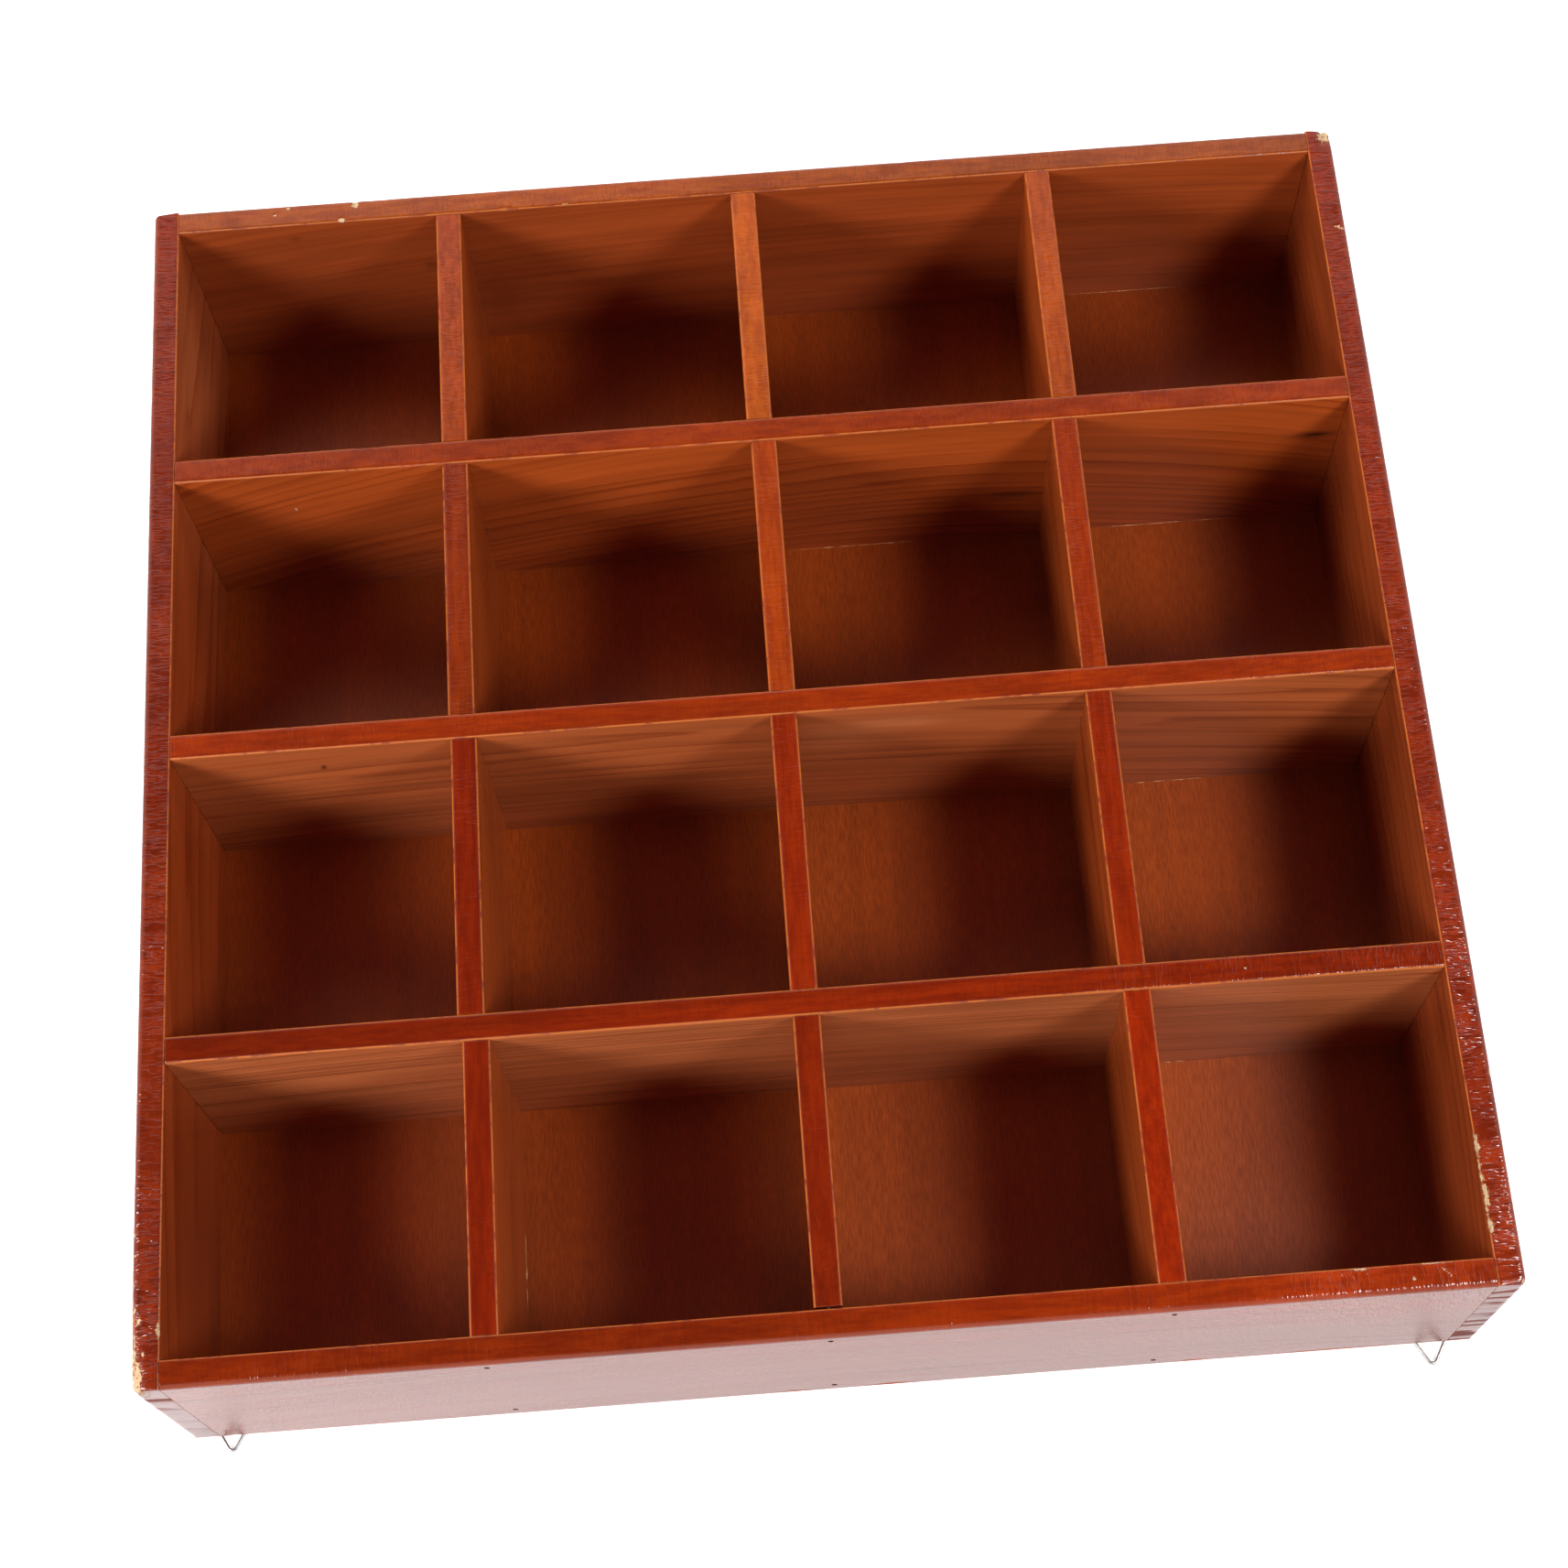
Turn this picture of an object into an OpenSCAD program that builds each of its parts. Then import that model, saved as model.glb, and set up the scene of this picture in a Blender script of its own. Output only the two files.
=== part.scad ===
// Compartment storage box: an open wooden box divided into sixteen square cells.
// It lies on its back with the cells open upwards. Four walls stand on a thin back panel.
// Three long dividers run from side to side, and twelve short ones are butted between them.
// Two wire rings in folded straps let the box hang on a wall with the cells facing out.
// +Z points out of the cells, +X to the right and -Y to the wall that carries the rings.
// The origin is below the middle of the whole box, rings included, at its lowest point.

/* [Box] */
// Width of the box over the side boards
box_w = 450; // [300:5:700]
// Length of the box from the hanging wall to the base wall
box_l = 450; // [300:5:700]
// Height of the walls above the back panel, which is the depth of the cells
wall_h = 85; // [50:1:150]
// Thickness of the four walls
wall_t = 9.5; // [9:0.5:15]
// Radius along the outer edges of the rim and down the four corners
rim_round = 2; // [0.5:0.25:3]
// Radius along the inner edges of the rim
ease_round = 0.8; // [0.25:0.05:1.5]

/* [Dividers] */
// Thickness of the dividers
divider_t = 9.5; // [6:0.5:15]
// Radius along both top edges of a divider
divider_round = 1; // [0.25:0.05:2]
// How far the tops of the short dividers lie below the rim
short_drop = 0.4; // [0.1:0.1:2]
// Gap between the short divider that was cut too short and the hanging wall
short_gap = 0.8; // [0.2:0.1:0.9]

/* [Back panel] */
// Thickness of the plywood panel
panel_t = 3; // [3:0.5:6]
// Radius along the outer edges of the panel's back
panel_round = 2.5; // [0.5:0.25:2.5]

/* [Brads] */
// Diameter of the headless brads in the boards
brad_d = 1.2; // [1:0.1:1.6]
// Length of the brads through the walls and dividers
brad_l = 22; // [18:1:28]
// Length of the brads through the panel
panel_brad_l = 15; // [12:1:20]
// Depth of a brad's end below the wood's surface
brad_set = 0.3; // [0.1:0.1:0.6]
// Distance of the brads from the rim and from the panel
brad_inset = 6; // [4:0.5:12]
// Distance of the lowest corner brad from the panel
corner_inset = 15; // [14:1:20]
// Radial clearance of brads and nails in their holes
nail_fit = 0.05; // [0.03:0.01:0.1]
// Empty length in a hole beyond a brad's or nail's tip
tip_gap = 0.3; // [0.1:0.1:0.5]

/* [Hangers] */
// Distance of the left hanger's middle from the left side's outer face
left_hanger_x = 13.2; // [12:0.1:30]
// Distance of the right hanger's middle from the right side's outer face
right_hanger_x = 14.5; // [12:0.1:30]
// Distance of the left eye's axis from the hanging wall's outer face
left_eye_y = 4.2; // [2:0.1:4.5]
// Distance of the right eye's axis from the hanging wall's outer face
right_eye_y = 2; // [1.5:0.1:4.5]
// Width of a strap
strap_w = 7; // [5:0.1:7.2]
// Thickness of the strap's sheet, which lies double on the panel
sheet_t = 0.6; // [0.4:0.1:0.8]
// Diameter of the ring's wire
wire_d = 1.2; // [1:0.1:1.4]
// Radial clearance of the wire in the strap's eye
eye_fit = 0.08; // [0.05:0.01:0.1]
// Distance from the eye's axis to the nail
nail_reach = 3.6; // [3.4:0.1:4]
// Length of strap beyond the nail
strap_end = 3.5; // [2.5:0.1:5]
// Diameter of the nail's shank
nail_d = 1.5; // [1.2:0.1:1.6]
// Length of the nail under its head
nail_l = 12; // [8:0.5:14]
// Diameter of the nail's head
nail_head_d = 3.6; // [3:0.1:3.8]
// Thickness of the nail's head
nail_head_t = 0.7; // [0.4:0.1:0.8]
// Length of the ring's base, measured between the sharp corners of its triangle
ring_base = 11.9; // [11.6:0.1:14]
// Bend radius of the wire at the ring's two base corners
base_bend = 1.2; // [0.9:0.1:1.3]
// Bend radius of the wire at the ring's tip
tip_bend = 1.5; // [0.9:0.1:2]

/* [Hidden] */
$fn = 48;
cells = 4;
bars = cells - 1;
// Overrun of cuts past the surface that they open
overrun = 1;
// Where each long divider sits off its even place, as shares of a cell's length
long_shift_shares = [0.014, 0.008, -0.007];
// Where each short divider sits off its even place, by row, as shares of a cell's width
short_shift_shares = [
    [-0.030, -0.009, 0.014],
    [-0.030, 0.000, 0.004],
    [-0.025, -0.002, 0.007],
    [-0.010, 0.000, 0.013]
];
// The short divider that was cut too short, by row and column
gapped_row = 4;
gapped_column = 2;

// Sides of an equal-sided triangle meet at sixty degrees
ring_corner = 60;
ring_height = ring_base / 2 * tan(ring_corner);
// Distance from a sharp corner to the ends of its bend, and to the tip bend's centre
base_tangent = base_bend / tan(ring_corner / 2);
tip_tangent = tip_bend / tan(ring_corner / 2);
tip_centre = tip_bend / sin(ring_corner / 2);
// How much thicker the wire's radius is in its bends, and how far straight wire runs into them
bend_swell = 0.02;
bend_lap = 0.15;
// Reach of the ring's tip from the eye's axis, and its overhang past the hanging wall
ring_reach = ring_height - tip_centre + tip_bend + wire_d / 2 + bend_swell;
ring_overhang = ring_reach - min(left_eye_y, right_eye_y);

eye_r = wire_d / 2 + eye_fit;
eye_outer_r = eye_r + sheet_t;
fold_t = 2 * sheet_t;

// Heights: the eyes are lowest, then the panel, the walls and the rim
eye_z = eye_outer_r;
panel_z = 2 * eye_outer_r;
wall_z = panel_z + panel_t;
rim_z = wall_z + wall_h;

// Outer faces of the four walls
near_y = -box_l / 2 + ring_overhang / 2;
far_y = near_y + box_l;
left_x = -box_w / 2;
right_x = box_w / 2;
inner_w = box_w - 2 * wall_t;
inner_l = box_l - 2 * wall_t;
cell_w = (inner_w - bars * divider_t) / cells;
cell_l = (inner_l - bars * divider_t) / cells;

brad_r = brad_d / 2;
brad_heights = [wall_z + brad_inset, rim_z - brad_inset];
corner_heights = [wall_z + corner_inset, (wall_z + rim_z) / 2, rim_z - corner_inset];

pine = [0.62, 0.27, 0.12];
pine_dark = [0.50, 0.20, 0.09];
plywood = [0.45, 0.24, 0.12];
steel = [0.62, 0.62, 0.64];

// Middle of long divider k, counted from the base wall
function long_y(k) =
    far_y - wall_t - k * (cell_l + divider_t) + divider_t / 2 + long_shift_shares[k - 1] * cell_l;
// Middle of a short divider, by row from the base wall and column from the left
function short_x(row, column) =
    left_x + wall_t + column * (cell_w + divider_t) - divider_t / 2
    + short_shift_shares[row - 1][column - 1] * cell_w;
// Far and near ends of the short dividers in a row
function short_far(row) = row == 1 ? far_y - wall_t : long_y(row - 1) - divider_t / 2;
function short_near(row) = row == cells ? near_y + wall_t : long_y(row) + divider_t / 2;
// Middles of the cells, where the panel's brads go
function middle_x(column) = left_x + wall_t + (column - 1) * (cell_w + divider_t) + cell_w / 2;
function middle_y(row) = far_y - wall_t - (row - 1) * (cell_l + divider_t) - cell_l / 2;

short_names = [for (row = [1:cells]) for (column = [1:bars]) str("short_divider_", row, "_", column)];

// Section of a board: thickness along X, height along Y, with its two top edges rounded
module board_section(thick, high, first_round, second_round) {
    translate([first_round, 0])
        square([thick - first_round - second_round, high]);
    square([thick / 2, high - first_round]);
    translate([thick / 2, 0])
        square([thick / 2, high - second_round]);
    translate([first_round, high - first_round])
        circle(r = first_round);
    translate([thick - second_round, high - second_round])
        circle(r = second_round);
}

// Rectangle with its four corners rounded
module round_plate(wide, long, corner) {
    translate([corner, 0])
        square([wide - 2 * corner, long]);
    translate([0, corner])
        square([wide, long - 2 * corner]);
    for (x = [corner, wide - corner])
        for (y = [corner, long - corner])
            translate([x, y])
                circle(r = corner);
}

// A section drawn in X and Y, stood up and run along +X, with its X turned to +Y
module run_x(length) {
    rotate([90, 0, 90])
        linear_extrude(height = length)
            children();
}

// A section drawn in X and Y, stood up and run along +Y, with its X left along X
module run_y(length) {
    translate([0, length, 0])
        rotate([90, 0, 0])
            linear_extrude(height = length)
                children();
}

// Directions in which brads are driven
module drive_to_far() { rotate([-90, 0, 0]) children(); }
module drive_to_near() { rotate([90, 0, 0]) children(); }
module drive_to_right() { rotate([0, 90, 0]) children(); }
module drive_to_left() { rotate([0, -90, 0]) children(); }

// A brad driven along +Z from the surface at zero, and its hole
module brad(length) {
    translate([0, 0, brad_set])
        cylinder(r = brad_r, h = length);
}
module brad_hole(length) {
    translate([0, 0, -overrun])
        cylinder(r = brad_r + nail_fit, h = overrun + brad_set + length + tip_gap);
}

// Places of the brads through the base wall and the hanging wall into the short dividers
module base_wall_places() {
    for (column = [1:bars])
        for (z = brad_heights)
            translate([short_x(1, column), far_y, z])
                drive_to_near() children();
}
module hanging_wall_places() {
    for (column = [1:bars])
        for (z = brad_heights)
            translate([short_x(cells, column), near_y, z])
                drive_to_far() children();
}
// Places of the brads through the sides into long divider k
module left_side_places(k) {
    for (z = brad_heights)
        translate([left_x, long_y(k), z])
            drive_to_right() children();
}
module right_side_places(k) {
    for (z = brad_heights)
        translate([right_x, long_y(k), z])
            drive_to_left() children();
}
// Places of the brads through the sides into the ends of the walls
module left_corner_places() {
    for (y = [near_y + wall_t / 2, far_y - wall_t / 2])
        for (z = corner_heights)
            translate([left_x, y, z])
                drive_to_right() children();
}
module right_corner_places() {
    for (y = [near_y + wall_t / 2, far_y - wall_t / 2])
        for (z = corner_heights)
            translate([right_x, y, z])
                drive_to_left() children();
}
// Places of the brads through long divider k into the near ends of the short dividers in row k
module divider_places(k) {
    for (column = [1:bars])
        for (z = brad_heights)
            translate([short_x(k, column), long_y(k) - divider_t / 2, z])
                drive_to_far() children();
}
// Places of the brads up through the panel, in a row across the box and in a row along it
module panel_places_x(y) {
    for (column = [1:cells])
        translate([middle_x(column), y, panel_z])
            children();
}
module panel_places_y(x) {
    for (row = [1:cells])
        translate([x, middle_y(row), panel_z])
            children();
}
// Places of both hangers, with the origin on each eye's axis
module left_hanger() {
    translate([left_x + left_hanger_x, near_y + left_eye_y, eye_z]) children();
}
module right_hanger() {
    translate([right_x - right_hanger_x, near_y + right_eye_y, eye_z]) children();
}
module nail_hole() {
    translate([0, nail_reach, -overrun - eye_outer_r])
        cylinder(r = nail_d / 2 + nail_fit, h = overrun + 2 * eye_outer_r - fold_t + nail_l + tip_gap);
}

module back_panel() {
    color(plywood)
        difference() {
            intersection() {
                translate([left_x, near_y, wall_z])
                    mirror([0, 0, 1])
                        run_y(box_l) board_section(box_w, panel_t, panel_round, panel_round);
                translate([left_x, near_y, wall_z])
                    mirror([0, 0, 1])
                        run_x(box_w) board_section(box_l, panel_t, panel_round, panel_round);
                translate([left_x, near_y, panel_z])
                    linear_extrude(height = panel_t)
                        round_plate(box_w, box_l, rim_round);
            }
            panel_places_x(near_y + wall_t / 2) brad_hole(panel_brad_l);
            panel_places_x(far_y - wall_t / 2) brad_hole(panel_brad_l);
            panel_places_y(left_x + wall_t / 2) brad_hole(panel_brad_l);
            panel_places_y(right_x - wall_t / 2) brad_hole(panel_brad_l);
            for (k = [1:bars])
                panel_places_x(long_y(k)) brad_hole(panel_brad_l);
            left_hanger() nail_hole();
            right_hanger() nail_hole();
        }
}

// A side board with its outer face at x = 0, its ends' corners and its rim rounded
module side_board() {
    intersection() {
        run_y(box_l) board_section(wall_t, wall_h, rim_round, ease_round);
        run_x(wall_t) board_section(box_l, wall_h, rim_round, rim_round);
        linear_extrude(height = wall_h) {
            translate([0, rim_round])
                square([wall_t, box_l - 2 * rim_round]);
            translate([rim_round, 0])
                square([wall_t - rim_round, box_l]);
            for (y = [rim_round, box_l - rim_round])
                translate([rim_round, y])
                    circle(r = rim_round);
        }
    }
}

module left_side() {
    color(pine)
        difference() {
            translate([left_x, near_y, wall_z])
                side_board();
            for (k = [1:bars])
                left_side_places(k) brad_hole(brad_l);
            left_corner_places() brad_hole(brad_l);
            panel_places_y(left_x + wall_t / 2) brad_hole(panel_brad_l);
        }
}

module right_side() {
    color(pine)
        difference() {
            translate([right_x, near_y, wall_z])
                mirror([1, 0, 0])
                    side_board();
            for (k = [1:bars])
                right_side_places(k) brad_hole(brad_l);
            right_corner_places() brad_hole(brad_l);
            panel_places_y(right_x - wall_t / 2) brad_hole(panel_brad_l);
        }
}

// The wall beside the rings, butted between the sides
module hanging_wall() {
    color(pine)
        difference() {
            translate([left_x + wall_t, near_y, wall_z])
                run_x(inner_w) board_section(wall_t, wall_h, rim_round, ease_round);
            hanging_wall_places() brad_hole(brad_l);
            left_corner_places() brad_hole(brad_l);
            right_corner_places() brad_hole(brad_l);
            panel_places_x(near_y + wall_t / 2) brad_hole(panel_brad_l);
            left_hanger() nail_hole();
            right_hanger() nail_hole();
        }
}

// The wall opposite, on which the box can also stand
module base_wall() {
    color(pine)
        difference() {
            translate([left_x + wall_t, far_y - wall_t, wall_z])
                run_x(inner_w) board_section(wall_t, wall_h, ease_round, rim_round);
            base_wall_places() brad_hole(brad_l);
            left_corner_places() brad_hole(brad_l);
            right_corner_places() brad_hole(brad_l);
            panel_places_x(far_y - wall_t / 2) brad_hole(panel_brad_l);
        }
}

module long_divider(k) {
    color(pine_dark)
        difference() {
            translate([left_x + wall_t, long_y(k) - divider_t / 2, wall_z])
                run_x(inner_w) board_section(divider_t, wall_h, divider_round, divider_round);
            left_side_places(k) brad_hole(brad_l);
            right_side_places(k) brad_hole(brad_l);
            divider_places(k) brad_hole(brad_l);
            panel_places_x(long_y(k)) brad_hole(panel_brad_l);
        }
}

module short_divider(row, column) {
    gap = row == gapped_row && column == gapped_column ? short_gap : 0;
    length = short_far(row) - short_near(row) - gap;
    color(pine_dark)
        difference() {
            translate([short_x(row, column) - divider_t / 2, short_near(row) + gap, wall_z])
                run_y(length)
                    board_section(divider_t, wall_h - short_drop, divider_round, divider_round);
            if (row == 1)
                base_wall_places() brad_hole(brad_l);
            if (row == cells)
                hanging_wall_places() brad_hole(brad_l);
            if (row < cells)
                divider_places(row) brad_hole(brad_l);
        }
}

// Brads that hold the outer ends of the short dividers
module end_brads() {
    color(steel) {
        base_wall_places() brad(brad_l);
        hanging_wall_places() brad(brad_l);
    }
}
// Brads that hold the long dividers
module side_brads() {
    color(steel)
        for (k = [1:bars]) {
            left_side_places(k) brad(brad_l);
            right_side_places(k) brad(brad_l);
        }
}
// Brads that hold the box's corners
module corner_brads() {
    color(steel) {
        left_corner_places() brad(brad_l);
        right_corner_places() brad(brad_l);
    }
}
// Brads that hold the near ends of the short dividers in the first rows
module divider_brads() {
    color(steel)
        for (k = [1:bars])
            divider_places(k) brad(brad_l);
}
// Brads that hold the back panel
module panel_brads() {
    color(steel) {
        panel_places_x(near_y + wall_t / 2) brad(panel_brad_l);
        panel_places_x(far_y - wall_t / 2) brad(panel_brad_l);
        panel_places_y(left_x + wall_t / 2) brad(panel_brad_l);
        panel_places_y(right_x - wall_t / 2) brad(panel_brad_l);
        for (k = [1:bars])
            panel_places_x(long_y(k)) brad(panel_brad_l);
    }
}

// A strap folded round the ring's base wire, both layers flat under the panel
module strap() {
    strap_l = nail_reach + strap_end;
    color(steel)
        difference() {
            intersection() {
                translate([-strap_w / 2, 0, 0])
                    run_x(strap_w) {
                        circle(r = eye_outer_r);
                        translate([0, eye_outer_r - fold_t])
                            square([strap_l, fold_t]);
                    }
                translate([0, 0, -eye_outer_r])
                    linear_extrude(height = 2 * eye_outer_r) {
                        translate([-strap_w / 2, -eye_outer_r])
                            square([strap_w, eye_outer_r + strap_l - strap_w / 2]);
                        translate([0, strap_l - strap_w / 2])
                            circle(r = strap_w / 2);
                    }
            }
            translate([-strap_w / 2 - overrun, 0, 0])
                rotate([0, 90, 0])
                    cylinder(r = eye_r, h = strap_w + 2 * overrun);
            nail_hole();
        }
}
module hanger_strap_left() { left_hanger() strap(); }
module hanger_strap_right() { right_hanger() strap(); }

// The nail's head bears on the strap, and its shank goes up into the hanging wall
module nail() {
    translate([0, nail_reach, eye_outer_r - fold_t]) {
        cylinder(r = nail_d / 2, h = nail_l);
        translate([0, 0, -nail_head_t])
            cylinder(r = nail_head_d / 2, h = nail_head_t);
    }
}
module hanger_nails() {
    color(steel) {
        left_hanger() nail();
        right_hanger() nail();
    }
}

// A straight length of wire along +X that runs on a little into the bends at both its ends
module wire(length) {
    translate([-bend_lap, 0, 0])
        rotate([0, 90, 0])
            cylinder(r = wire_d / 2, h = length + 2 * bend_lap);
}
// A bend that starts along +X and turns left; bending swells the wire a little
module wire_bend(bend) {
    translate([0, bend, 0])
        rotate([0, 0, -90])
            rotate_extrude(angle = 180 - ring_corner)
                translate([bend, 0])
                    circle(r = wire_d / 2 + bend_swell);
}

// A ring with its base on the X axis, round the eye's axis, and its tip pointing to -Y
module ring() {
    base_l = ring_base - 2 * base_tangent;
    leg_l = ring_base - base_tangent - tip_tangent;
    color(steel) {
        translate([-base_l / 2, 0, 0])
            wire(base_l);
        for (turned = [0, 1])
            mirror([turned, 0, 0]) {
                translate([base_l / 2, 0, 0])
                    mirror([0, 1, 0])
                        wire_bend(base_bend);
                translate([ring_base / 2, 0, 0])
                    rotate([0, 0, ring_corner - 180])
                        translate([base_tangent, 0, 0])
                            wire(leg_l);
            }
        translate([-tip_tangent * cos(ring_corner), tip_tangent * sin(ring_corner) - ring_height, 0])
            rotate([0, 0, -ring_corner])
                wire_bend(tip_bend);
    }
}
module hanger_ring_left() { left_hanger() ring(); }
module hanger_ring_right() { right_hanger() ring(); }

back_panel();
left_side();
right_side();
hanging_wall();
base_wall();
for (k = [1:bars])
    long_divider(k);
for (row = [1:cells])
    for (column = [1:bars])
        short_divider(row, column);
end_brads();
side_brads();
corner_brads();
divider_brads();
panel_brads();
hanger_strap_left();
hanger_strap_right();
hanger_nails();
hanger_ring_left();
hanger_ring_right();
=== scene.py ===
# %% [markdown]
# # A pine box of sixteen compartments
# The real box is solid pine board, stained red-brown and brushed with a glossy lacquer.
# Years of handling have thinned the stain along the edges and knocked chips out of the corners.
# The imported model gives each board's place and size, and this file gives it its surface.
# Everything is in metres: X to the right, Y away from the viewer, Z up out of the open cells.

import math

import bpy
import numpy as np
from mathutils import Euler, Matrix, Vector


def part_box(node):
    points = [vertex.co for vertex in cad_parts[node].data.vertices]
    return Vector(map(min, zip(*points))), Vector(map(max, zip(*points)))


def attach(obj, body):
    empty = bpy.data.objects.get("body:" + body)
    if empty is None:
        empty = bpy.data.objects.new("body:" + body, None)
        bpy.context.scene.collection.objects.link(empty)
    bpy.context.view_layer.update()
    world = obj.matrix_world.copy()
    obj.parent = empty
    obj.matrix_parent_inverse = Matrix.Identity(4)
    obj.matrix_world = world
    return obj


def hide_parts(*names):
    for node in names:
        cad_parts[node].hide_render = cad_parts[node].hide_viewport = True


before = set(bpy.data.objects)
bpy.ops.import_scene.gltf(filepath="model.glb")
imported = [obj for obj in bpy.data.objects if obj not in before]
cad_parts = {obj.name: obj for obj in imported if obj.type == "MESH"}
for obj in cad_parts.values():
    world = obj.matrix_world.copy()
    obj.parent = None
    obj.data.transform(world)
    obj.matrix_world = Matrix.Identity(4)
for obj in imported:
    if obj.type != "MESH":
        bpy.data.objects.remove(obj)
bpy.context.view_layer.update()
scene = bpy.context.scene
mm = 0.001

# %% [markdown]
# ## The camera
# The photographer stood at the box's near side and looked down into the cells.
# Sixty points measured on the rims, floors and edges gave the camera's place, turn and lens.
# The picture was cropped off its centre, and the small shift of the lens stands for that crop.

# %% Camera
camera_data = bpy.data.cameras.new("camera")
camera_data.lens = 61.70
camera_data.sensor_width = 36
camera_data.shift_x = -0.0303
camera_data.shift_y = 0.0624
camera_data.clip_start = 0.01
camera = bpy.data.objects.new("camera", camera_data)
camera.location = (0.0013, -0.4011, 0.9460)
camera.rotation_euler = Euler([math.radians(a) for a in (21.4545, 0.9618, -4.2630)])
scene.collection.objects.link(camera)
scene.camera = camera
print("Camera at", tuple(camera.location))

# %% [markdown]
# ## Nodes and groups
# A material is a tree of nodes, and most of this file's trees repeat the same few steps.
# One helper adds a node and fills its inputs, with a value or with another node's output.
# An effect that several finishes share is a node group, built once with named sockets.


# %% Helpers for node trees
def node(tree, kind, inputs=None, **settings):
    """Adds a node; an input is a plain value or another node's output socket."""
    made = tree.nodes.new(kind)
    for name, value in settings.items():
        setattr(made, name, value)
    for key, value in (inputs or {}).items():
        if isinstance(value, bpy.types.NodeSocket):
            tree.links.new(value, made.inputs[key])
        else:
            made.inputs[key].default_value = value
    return made


def calc(tree, operation, first, second=0.0, clamp=False):
    """One arithmetic step on two numbers or sockets."""
    made = node(tree, "ShaderNodeMath", {0: first, 1: second}, operation=operation, use_clamp=clamp)
    return made.outputs[0]


def fade(tree, value, start, end, low=0.0, high=1.0):
    """Carries value from start..end to low..high, eased at both ends."""
    made = node(
        tree,
        "ShaderNodeMapRange",
        {"Value": value, "From Min": start, "From Max": end, "To Min": low, "To Max": high},
        interpolation_type="SMOOTHSTEP",
    )
    return made.outputs["Result"]


print("Ready: node, calc, fade")


# %% Helpers for colours and noise
def blend(tree, share, first, second, blend_type="MIX"):
    """Mixes two colours; share is a number or a socket."""
    made = node(
        tree,
        "ShaderNodeMix",
        {0: share, 6: first, 7: second},
        data_type="RGBA",
        blend_type=blend_type,
    )
    return made.outputs[2]


def between(tree, share, first, second):
    """Mixes two plain numbers or number sockets; share is a number or a socket."""
    made = node(tree, "ShaderNodeMix", {0: share, 2: first, 3: second}, data_type="FLOAT")
    return made.outputs[0]


def noise(tree, vector, scale, detail=2.0, roughness=0.5):
    """Smooth noise from 0 to 1 on a vector."""
    made = node(
        tree,
        "ShaderNodeTexNoise",
        {"Vector": vector, "Scale": scale, "Detail": detail, "Roughness": roughness},
    )
    return made.outputs["Fac"]


def stretch(tree, vector, factors):
    """Multiplies a vector's three parts."""
    made = node(tree, "ShaderNodeVectorMath", {0: vector, 1: factors}, operation="MULTIPLY")
    return made.outputs[0]


def shaded(tree, colour, shade):
    """Multiplies a colour by one number."""
    made = node(tree, "ShaderNodeVectorMath", {0: colour, "Scale": shade}, operation="SCALE")
    return made.outputs[0]


print("Ready: blend, between, noise, stretch, shaded")


# %% Helpers for groups and materials
def new_group(name, inputs, outputs):
    """An empty node group with named sockets; returns its tree, its inputs and its outputs."""
    tree = bpy.data.node_groups.new(name, "ShaderNodeTree")
    for label, kind, value in inputs:
        socket = tree.interface.new_socket(label, in_out="INPUT", socket_type="NodeSocket" + kind)
        socket.default_value = value
    for label, kind in outputs:
        tree.interface.new_socket(label, in_out="OUTPUT", socket_type="NodeSocket" + kind)
    return tree, tree.nodes.new("NodeGroupInput").outputs, tree.nodes.new("NodeGroupOutput").inputs


def use_group(tree, group, inputs):
    """Places a group in a tree and returns its outputs."""
    return node(tree, "ShaderNodeGroup", inputs, node_tree=group).outputs


def new_material(name):
    """An empty material with a Principled shader wired to its output."""
    material = bpy.data.materials.new(name)
    material.use_nodes = True
    tree = material.node_tree
    tree.nodes.clear()
    shader = tree.nodes.new("ShaderNodeBsdfPrincipled")
    output = tree.nodes.new("ShaderNodeOutputMaterial")
    tree.links.new(shader.outputs[0], output.inputs[0])
    return material, tree, shader


def finish(tree, shader, colour, roughness):
    """Wires a colour and a roughness into a shader."""
    tree.links.new(colour, shader.inputs["Base Color"])
    tree.links.new(roughness, shader.inputs["Roughness"])


def roughen(tree, shader, height, strength, depth):
    """Wires a height into a shader as a bump; a height of 1 stands for depth in metres."""
    bump = node(tree, "ShaderNodeBump", {"Height": height, "Strength": strength, "Distance": depth})
    tree.links.new(bump.outputs[0], shader.inputs["Normal"])


print("Ready: new_group, use_group, new_material, finish, roughen")

# %% [markdown]
# ## Growth rings
# A board is a slice of a tree, so its figure is one solid pattern seen on every face.
# Each board carries a vector, grain: metres along the tree, then its distance from the
# tree's heart, up and out, counted in growth rings. The distance's length counts the rings.
# Its fraction rises slowly through the pale spring wood and drops after the dark autumn wood.
# The same pattern then gives long lines on a face and short bands on a board's end.

# %% Group: the figure of the wood
tree, given, made = new_group(
    "wood_figure",
    [("Grain", "Vector", (0, 0, 0)), ("Wander", "Float", 0.8)],
    [("Rings", "Float"), ("Fibres", "Float"), ("Cloud", "Float"), ("Tone", "Float")],
)
across = node(tree, "ShaderNodeVectorMath", {0: stretch(tree, given["Grain"], (0, 1, 1))}, operation="LENGTH")
slow = noise(tree, stretch(tree, given["Grain"], (4.0, 0.16, 0.16)), 1.0, 1.0)
quick = noise(tree, stretch(tree, given["Grain"], (11.0, 0.5, 0.5)), 1.0, 1.0)
years = node(tree, "ShaderNodeCombineXYZ", {0: across.outputs["Value"]}).outputs[0]
years = noise(tree, stretch(tree, years, (0.55, 0.0, 0.0)), 1.0, 2.0)
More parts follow.
